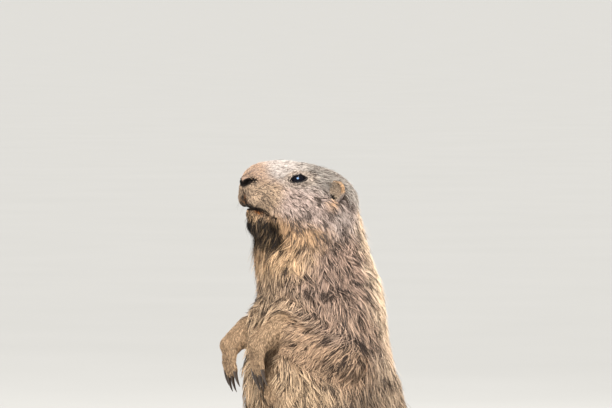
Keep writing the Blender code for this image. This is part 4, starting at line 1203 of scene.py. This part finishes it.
def body_length(points):
    at = places(points)
    length = 0.018 + 0.006 * smooth(at["height"], 0.300, 0.240)
    short = at["arm"] * (0.12 + 0.52 * smooth(at["arm_reach"], 0.1, 1.0))
    length = length * (1 - short) * (1 - at["tail"]) + 0.028 * at["tail"]
    return length * (1 - at["paw"]) + 0.0034 * at["paw"]


def body_width(points):
    at = places(points)
    low = smooth(at["height"], 0.200, 0.150)
    return (0.00036 + 0.00032 * low) * (1 - 0.45 * at["paw"]) * (1 - 0.10 * at["arm"])


def guard_length(points):
    head = places(points)["head"]
    return 1.05 * body_length(points) * (1 - head) + 1.35 * head_length(points) * head


def zone(points, name):
    """1 inside a named zone of the body, 0 outside; the zones share the skin between them."""
    at = places(points)
    head = at["head"] > 0.5
    tail = (at["tail"] > 0.5) & ~head
    paw = (at["paw"] > 0.5) & ~head & ~tail
    trunk = ~head & ~tail & ~paw
    front = points[:, 1] < FRONT_PLANE
    height = points[:, 2]
    upper = trunk & (height <= NECK_FOOT) & (height > WAIST)
    lower = trunk & (height <= WAIST)
    found = {
        "face": head & (at["back"] < FACE_REAR),
        "head_back": head & (at["back"] >= FACE_REAR),
        "neck": trunk & (height > NECK_FOOT),
        "chest": upper & front,
        "shoulders": upper & ~front,
        "belly": lower & front,
        "rump": lower & ~front,
        "tail": tail,
        "paws": paw,
    }
    return found[name].astype(float)


def whole_coat(surface, hair):
    face = {
        "length": head_length, "half_width": head_width, "clump_share": 0.040, "gather": 0.45,
        "wildness": 0.22, "swirl": 0.15, "stand": coat_stand, "streaks": 0.20,
    }
    cheeks = dict(face, clump_share=0.036, gather=0.62, wildness=0.26, streaks=0.38)
    long = {
        "length": body_length, "half_width": body_width, "clump_share": 0.062, "gather": 0.74,
        "wildness": 0.30, "swirl": 0.08, "stand": coat_stand, "loose": 0.07, "streaks": 0.32, "grain": 0.34,
    }
    low = dict(long, clump_share=0.034, gather=0.50, wildness=0.20, swirl=0.04, loose=0.05)
    low.update(streaks=0.12, grain=0.24)
    paws = dict(long, clump_share=0.05, gather=0.2, wildness=0.15, swirl=0.0, loose=0.02)
    paws.update(streaks=0.08, grain=0.22)
    plans = (
        ("face", face, 3.6e6, "coat_head"),
        ("head_back", cheeks, 3.1e6, "coat_head"),
        ("neck", long, 1.60e6, "coat_body"),
        ("chest", long, 1.40e6, "coat_body"),
        ("shoulders", long, 1.25e6, "coat_body"),
        ("belly", low, 0.56e6, "coat_body"),
        ("rump", low, 0.60e6, "coat_body"),
        ("tail", long, 1.0e6, "coat_tail"),
        ("paws", paws, 1.6e6, "coat_paw"),
    )
    for number, (name, shape, amount, slot) in enumerate(plans):
        def density(points, name=name, amount=amount):
            return amount * zone(points, name) * clear_of_face(points) * (points[:, 2] > 0.0016)
        lay_tufts("coat_" + name, surface, density, shape, hair, 100 + number)

    def sparse(points):
        at = places(points)
        amount = GUARD_HAIRS * (1 + 2.0 * at["head"]) * (1 - at["paw"])
        return amount * clear_of_face(points) * (points[:, 2] > 0.01)
    guard = dict(
        long, length=guard_length, half_width=constant(0.00013), gather=0.10, wildness=0.32, loose=0.4,
        stand=lambda points: 1.20 * coat_stand(points),
    )
    lay_tufts("coat_guard_hair", surface, sparse, guard, hair, 140)


# Plain materials with fine detail
def plain_material(name, colour, roughness, scale, depth, strength=0.5, shades=None):
    """A finely grained material in one colour, or between two shades of it."""
    material, shader, tree = new_look(name, {"Roughness": roughness})
    coords = new_node(tree, "TexCoord").outputs["Object"]
    grain = new_node(tree, "TexNoise", {"Vector": coords, "Scale": scale, "Detail": 4}).outputs["Fac"]
    ramp = new_node(tree, "ValToRGB", {"Fac": grain})
    shades = shades or (np.array(colour) * 0.65, np.minimum(np.array(colour) * 1.35, 1))
    for element, shade in zip(ramp.color_ramp.elements, shades):
        element.color = (*shade, 1)
    finish_look(tree, shader, ramp.outputs["Color"], grain, strength, depth)
    return material


def wear(piece, material):
    """Gives a whole piece one material; cut meshes can carry empty slots."""
    piece.data.materials.clear()
    piece.data.materials.append(material)
    piece.data.polygons.foreach_set("material_index", np.zeros(len(piece.data.polygons), dtype=np.int32))


def placed(piece, slot, *nodes):
    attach(piece, "root")
    if nodes:
        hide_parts(*nodes)
    return piece


def make_lids(side, label, tree):
    """The dark rims of the eye's almond opening, from the eyeball up onto the skin."""
    centre = on_head(EYE, side)
    across, over, out = eye_axes(side)
    angles = np.linspace(0, 2 * math.pi, 96, endpoint=False)
    wide = np.where(np.cos(angles) > 0, EYE_REAR, EYE_FRONT) * np.cos(angles)
    rise = np.sin(angles)
    tall = np.where(rise > 0, EYE_ABOVE, EYE_BELOW) * np.sign(rise) * np.abs(rise) ** 1.7
    edge = np.stack((wide, tall - 0.0008 * smooth(-wide, 0.004, 0.008)), axis=1)
    outward = np.roll(edge, -1, axis=0) - np.roll(edge, 1, axis=0)
    outward = unit(np.stack((outward[:, 1], -outward[:, 0]), axis=1))
    shape = bmesh.new()
    loops = []
    for offset, over_ball, over_skin in LID_RINGS:
        loop = []
        for x, y in edge + outward * offset:
            start = centre + across * x + over * y + out * 0.03
            hit = tree.ray_cast(start, -out)[0]
            ground = (hit - centre).dot(out)
            ball = math.sqrt(max(EYE_RADIUS ** 2 - x * x - y * y, 0))
            rise = max(ball + over_ball, ground + over_skin)
            loop.append(shape.verts.new(centre + across * x + over * y + out * rise))
        loops.append(loop)
    join_loops(shape, loops)
    lids = from_bmesh(f"lids_{label}", shape)
    lids.data.shade_smooth()
    wear(lids, plain_material("lid_skin", TONES["lid"], 0.6, 1500, 0.0001))
    placed(lids, "eye")


def make_eyes():
    material = plain_material("eye_dark", tone(6, 4, 4), 0.05, 300, 0.00001, 0.05)
    material.node_tree.nodes["Principled BSDF"].inputs["Specular IOR Level"].default_value = 0.08
    lit = bpy.data.collections.new("eyes")
    for side, label in SIDES.items():
        eye = ellipsoid(f"eyeball_{label}", on_head(EYE, side), (EYE_RADIUS,) * 3, eye_frame(side), 48)
        lit.objects.link(eye)
        eye.data.shade_smooth()
        wear(eye, material)
        placed(eye, "eye", f"eye_{label}")


def make_nose(material):
    """The nose pad: a low leathery cushion, cleft below, with two comma nostrils between raised wings."""
    pad = ellipsoid("nose_pad", (0, 0, 0), (1, 1, 1), Matrix.Identity(3), 96)
    ball = unit(per_vertex(pad.data, "co"))
    local = ball * np.array(NOSE_PAD_RADII)
    wings = hill(np.abs(local[:, 2]), 0.0085, 0.0026) * hill(local[:, 1], 0.0016, 0.0024)
    groove = hill(local[:, 2], 0, 0.0009) * smooth(local[:, 1], 0.0035, -0.0005)
    local = local + ball * (0.0007 * wings - 0.0011 * groove)[:, None]
    points = (local + np.array(NOSE_PAD)) @ np.array(HEAD_TURN).T + np.array(NOSE_TIP)
    pad.data.vertices.foreach_set("co", points.ravel())
    pad.data.update()
    for side in SIDES:
        pad = cut_by(pad, nostril_cutter(side))
    points = per_vertex(pad.data, "co")
    gap = nostril_gap(points)
    # Painted shade: darker towards the nostrils and darkest inside their bores
    rims = (("lid", smooth(gap, 0.0038, 0.0029)), ("darkest", smooth(gap, 0.0029, 0.0024)))
    colour_layer(pad.data, "tint", painted(even("nose_skin", points), *rims))
    pad.data.shade_smooth()
    wear(pad, material)
    placed(pad, "nose", "nose")


def ear_lie(points):
    """Hair on the ear runs up and out to its rim."""
    lie = np.zeros((len(points), 3))
    for side in SIDES:
        mine = points[:, 0] * side > 0
        local = in_ear(points[mine], side)
        ahead = smooth(local[:, 0], -0.002, -0.006)
        below = smooth(local[:, 1], 0.000, -0.005)
        local[:, 0] += 0.012 * ahead + 0.010 * below
        local[:, 1] += 0.004 * (1 - below) - 0.004 * below
        local[:, 2] = 0.004 * side
        lie[mine] = local @ np.array(ear_turn(side)).T
    return lie


def ear_length(points):
    """Short hair, longer where it covers the front and lower edges."""
    length = np.full(len(points), 0.0028)
    for side in SIDES:
        mine = points[:, 0] * side > 0
        local = in_ear(points[mine], side)
        covered = np.maximum(smooth(local[:, 0], -0.003, -0.007), smooth(local[:, 1], -0.001, -0.006))
        length[mine] += 0.0016 * covered
    return length


def ear_colours(points):
    """Tan on the rim and inside, like the head behind, with painted shade in a band under the rim and in the
    dark opening.
    """
    light = markings(points)[0]
    for side in SIDES:
        mine = (points[:, 0] * side > 0)[:, None]
        local = in_ear(points, side) * np.array((1, 1, side))
        size = np.linalg.norm(local / np.array(EAR_RADII), axis=1)
        inner = smooth(size, 0.97, 0.90)
        rim = smooth(local[:, 2], 0.0008, 0.0024) * smooth(size, 0.87, 0.94)
        rim = rim * smooth(local[:, 1], 0.000, 0.004)
        hole = smooth(np.linalg.norm(local[:, :2] - np.array(EAR_HOLE), axis=1), 0.0046, 0.0034)
        # Painted shade: a dark band under the rim's upper arc, and the darkest tone in the opening
        rim_shadow = smooth(size, 0.62, 0.76) * smooth(size, 0.88, 0.82) * smooth(local[:, 1], -0.002, 0.003)
        layers = (("ear_inside", inner), ("ear_rim", 0.9 * rim), ("brown_and_shade", 0.45 * rim_shadow), ("darkest", hole))
        colour = painted(light, *layers)
        light = np.where(mine, colour, light)
    return light, 0.5 * light, np.full(len(points), 0.12)


def make_ears(skin_look, hair):
    """Short rounded ears: a thin rolled shell round an opening painted dark as shade, furred on both sides.
    """
    shape = {
        "length": ear_length, "half_width": constant(0.00024), "lie": ear_lie, "colours": ear_colours,
        "depth": constant(0.0010), "clump_share": 0.08, "gather": 0.30, "wildness": 0.35,
    }
    for side, label in SIDES.items():
        turn = ear_turn(side)
        centre = on_head(EAR, side)
        back, up, out = EAR_CUP_SHIFT
        ear = ellipsoid("ear_blank", centre, EAR_RADII, turn, 96)
        cup = ellipsoid("cup", centre + turn @ Vector((back, up, out * side)), EAR_CUP_RADII, turn, 96)
        ear = cut_by(ear, cup)
        ear.name = f"ear_shell_{label}"
        light = ear_colours(per_vertex(ear.data, "co"))[0]
        colour_layer(ear.data, "tint", 0.7 * light)
        ear.data.shade_smooth()
        wear(ear, skin_look)
        placed(ear, "ear_skin", f"ear_{label}")

        def density(points, side=side):
            local = in_ear(points, side) * np.array((1, 1, side))
            hole = np.linalg.norm(local[:, :2] - np.array(EAR_HOLE), axis=1)
            return EAR_TUFTS * smooth(hole, 0.0031, 0.0041)
        lay_tufts(f"coat_ear_{label}", Surface(ear), density, shape, hair, 160 + side)


def make_claws():
    horn = plain_material("claw_horn", tone(58, 46, 38), 0.35, 500, 0.0001)
    for node in bpy.data.objects:
        if node.name.startswith("claw_"):
            node.data.materials.clear()
            node.data.materials.append(horn)


def whisker(start, direction, droop, length, radius):
    """Points and radii of one thin tapering hair."""
    steps = range(WHISKER_STEPS + 1)
    shares = [i / WHISKER_STEPS for i in steps]
    points = [start + direction * (length * t) + droop * (length * t * t) for t in shares]
    return points, [radius * (1 - 0.92 * i / WHISKER_STEPS) for i in steps]


def make_whiskers():
    chance = np.random.default_rng(5)
    line = bpy.data.curves.new("whiskers", "CURVE")
    line.dimensions = "3D"
    line.bevel_depth = 1.0
    line.bevel_resolution = 1
    for side in SIDES:
        for (back, up), count, length in WHISKER_ROWS:
            for number in range(count):
                place = (back + 0.0022 * number, up + chance.normal(0, 0.0008), side * WHISKER_OUT * 0.9)
                start = on_head(place)
                spread = 0.5 + 0.25 * number / count
                direction = BACK * (spread - 0.55 + 0.1 * chance.normal())
                direction = direction + UP * (0.15 * chance.normal() - 0.12)
                direction = (direction + OUT * side * 0.9).normalized()
                droop = BACK * 0.25 - UP * (0.25 + 0.1 * chance.normal())
                long = length * chance.uniform(0.6, 1.1)
                points, radii = whisker(start, direction, droop, long, WHISKER_RADIUS)
                spline = line.splines.new("POLY")
                spline.points.add(len(points) - 1)
                for point, place, radius in zip(spline.points, points, radii):
                    point.co = (*place, 1)
                    point.radius = radius
    obj = applied(add("whiskers_line", line), "whiskers")
    obj.data.shade_smooth()
    wear(obj, plain_material("whisker_hair", tone(70, 58, 50), 0.4, 200, 0.00001))
    placed(obj, "coat_head")


def dress():
    skin_look = skin_material()
    hair = coat_material("coat_hair", 0.6)
    skin = make_skin()
    points = per_vertex(skin.data, "co")
    light, under = markings(points)[:2]
    # Painted shade on the skin: darkest in the mouth's gap and round the nostrils
    tint = painted(
        0.60 * under + 0.22 * light,
        ("darkest", smooth(mouth_gap(points), 0.0020, 0.0006)),
        ("darkest", smooth(nostril_gap(points), 0.0044, 0.0030)),
        ("lid", smooth(eye_reach(points), 1.5, 1.2)),
    )
    colour_layer(skin.data, "tint", tint)
    skin.data.shade_smooth()
    wear(skin, skin_look)
    flesh = ["head", "neck", "torso", "abdomen", "tail_base", "tail_end"]
    limbs = ("foreleg", "forefoot", "hindleg", "hindfoot")
    flesh += [f"{part}_{label}" for part in limbs for label in SIDES.values()]
    placed(skin, "coat_body", *flesh)
    whole_coat(Surface(skin), hair)
    make_eyes()
    make_nose(skin_look)
    make_ears(skin_look, hair)
    make_claws()
    make_whiskers()


def align():
    """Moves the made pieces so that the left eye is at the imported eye."""
    low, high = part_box("eye_left")
    middle = (Vector(low) + Vector(high)) / 2
    shift = middle - on_head(EYE)
    for obj in home.objects:
        obj.data.transform(Matrix.Translation(shift))
    return shift


# Camera, light and floor
PIXEL = 0.0009
CAMERA_AZIMUTH = math.radians(65)
CAMERA_ELEVATION = math.radians(2)
CAMERA_DISTANCE = 6.0
SENSOR_WIDTH = 36
NOSE_PIXEL = (243.5, 180.0)
FRAME = (612, 408)
FLOOR_SHADES = ((0.40, 0.40, 0.392), (0.43, 0.43, 0.422))
SKY_COLOUR, SKY_STRENGTH = (0.93, 0.96, 1.0), 0.60
SUN_COLOUR, SUN_STRENGTH, SUN_ANGLE = (1.0, 0.95, 0.87), 4.6, math.radians(9)
SUN_PLACE = (0.12, -0.52, 0.85)
LAMP_AIM = Vector((0, 0, 0.25))

# Lamps: the way to them to the right, forward and up from LAMP_AIM, size, power, colour, and whether it
# lights the eyes alone
LAMPS = (
    ("rim", (1.3, 1.0, 1.0), 0.6, 110, (1.0, 0.97, 0.92), False),
    ("fill", (-1.5, -1.5, 0.4), 1.6, 30, (1.0, 0.96, 0.90), False),
    ("window", (-0.30, -1.8, 1.20), 1.25, 620, (0.40, 0.64, 1.0), True),
)


def camera_axes():
    """The camera's directions: forward, to its right, and over it."""
    azimuth, elevation = CAMERA_AZIMUTH, CAMERA_ELEVATION
    level = math.cos(elevation)
    forward = Vector((-math.sin(azimuth) * level, math.cos(azimuth) * level, -math.sin(elevation)))
    right = Vector((math.cos(azimuth), math.sin(azimuth), 0))
    return forward, right, right.cross(forward)


def stage_camera(shift):
    """The photo's camera, with the nose tip where the photo has it."""
    forward, right, over = camera_axes()
    aim = NOSE_TIP + shift
    to_side, to_top = FRAME[0] / 2 - NOSE_PIXEL[0], FRAME[1] / 2 - NOSE_PIXEL[1]
    aim = aim + right * (to_side * PIXEL) - over * (to_top * PIXEL)
    camera = bpy.data.cameras.new("camera")
    camera.sensor_width = SENSOR_WIDTH
    camera.lens = SENSOR_WIDTH * CAMERA_DISTANCE / (FRAME[0] * PIXEL)
    camera.clip_end = 1000
    viewer = bpy.data.objects.new("camera", camera)
    turn = Matrix((right, over, -forward)).transposed().to_4x4()
    viewer.matrix_world = Matrix.Translation(aim - forward * CAMERA_DISTANCE) @ turn
    bpy.context.scene.collection.objects.link(viewer)
    bpy.context.scene.camera = viewer


def stage_floor():
    shape = bmesh.new()
    bmesh.ops.create_grid(shape, x_segments=8, y_segments=8, size=400)
    floor = from_bmesh("floor", shape)
    paper = plain_material("floor_paper", None, 0.8, 3, 0.0001, 0.1, FLOOR_SHADES)
    floor.data.materials.append(paper)


def stage_lights():
    """The sky, the sun, two soft lamps, and a window that only the eyes reflect."""
    world = bpy.data.worlds.new("studio")
    world.use_nodes = True
    sky = world.node_tree.nodes["Background"].inputs
    sky["Color"].default_value = (*SKY_COLOUR, 1)
    sky["Strength"].default_value = SKY_STRENGTH
    bpy.context.scene.world = world

    forward, right, over = camera_axes()
    sun = bpy.data.lights.new("sun", "SUN")
    sun.energy = SUN_STRENGTH
    sun.angle = SUN_ANGLE
    sun.color = SUN_COLOUR
    lamp = bpy.data.objects.new("sun", sun)
    aside, ahead, up = SUN_PLACE
    from_sun = right * aside + forward * ahead + Vector((0, 0, up))
    lamp.rotation_euler = from_sun.to_track_quat("Z", "Y").to_euler()
    bpy.context.scene.collection.objects.link(lamp)
    for name, (aside, ahead, up), size, power, colour, for_eyes in LAMPS:
        light = bpy.data.lights.new(name, "AREA")
        light.shape = "DISK"
        light.size = size
        light.energy = power
        light.color = colour
        lamp = bpy.data.objects.new(name, light)
        place = right * aside + forward * ahead + Vector((0, 0, up))
        lamp.location = LAMP_AIM + place
        lamp.rotation_euler = place.to_track_quat("Z", "Y").to_euler()
        lamp.visible_glossy = for_eyes
        if for_eyes:
            lamp.light_linking.receiver_collection = bpy.data.collections["eyes"]
        bpy.context.scene.collection.objects.link(lamp)


bpy.context.scene.view_settings.view_transform = "Standard"
dress()
moved = align()
stage_camera(moved)
stage_floor()
stage_lights()
bpy.context.view_layer.update()
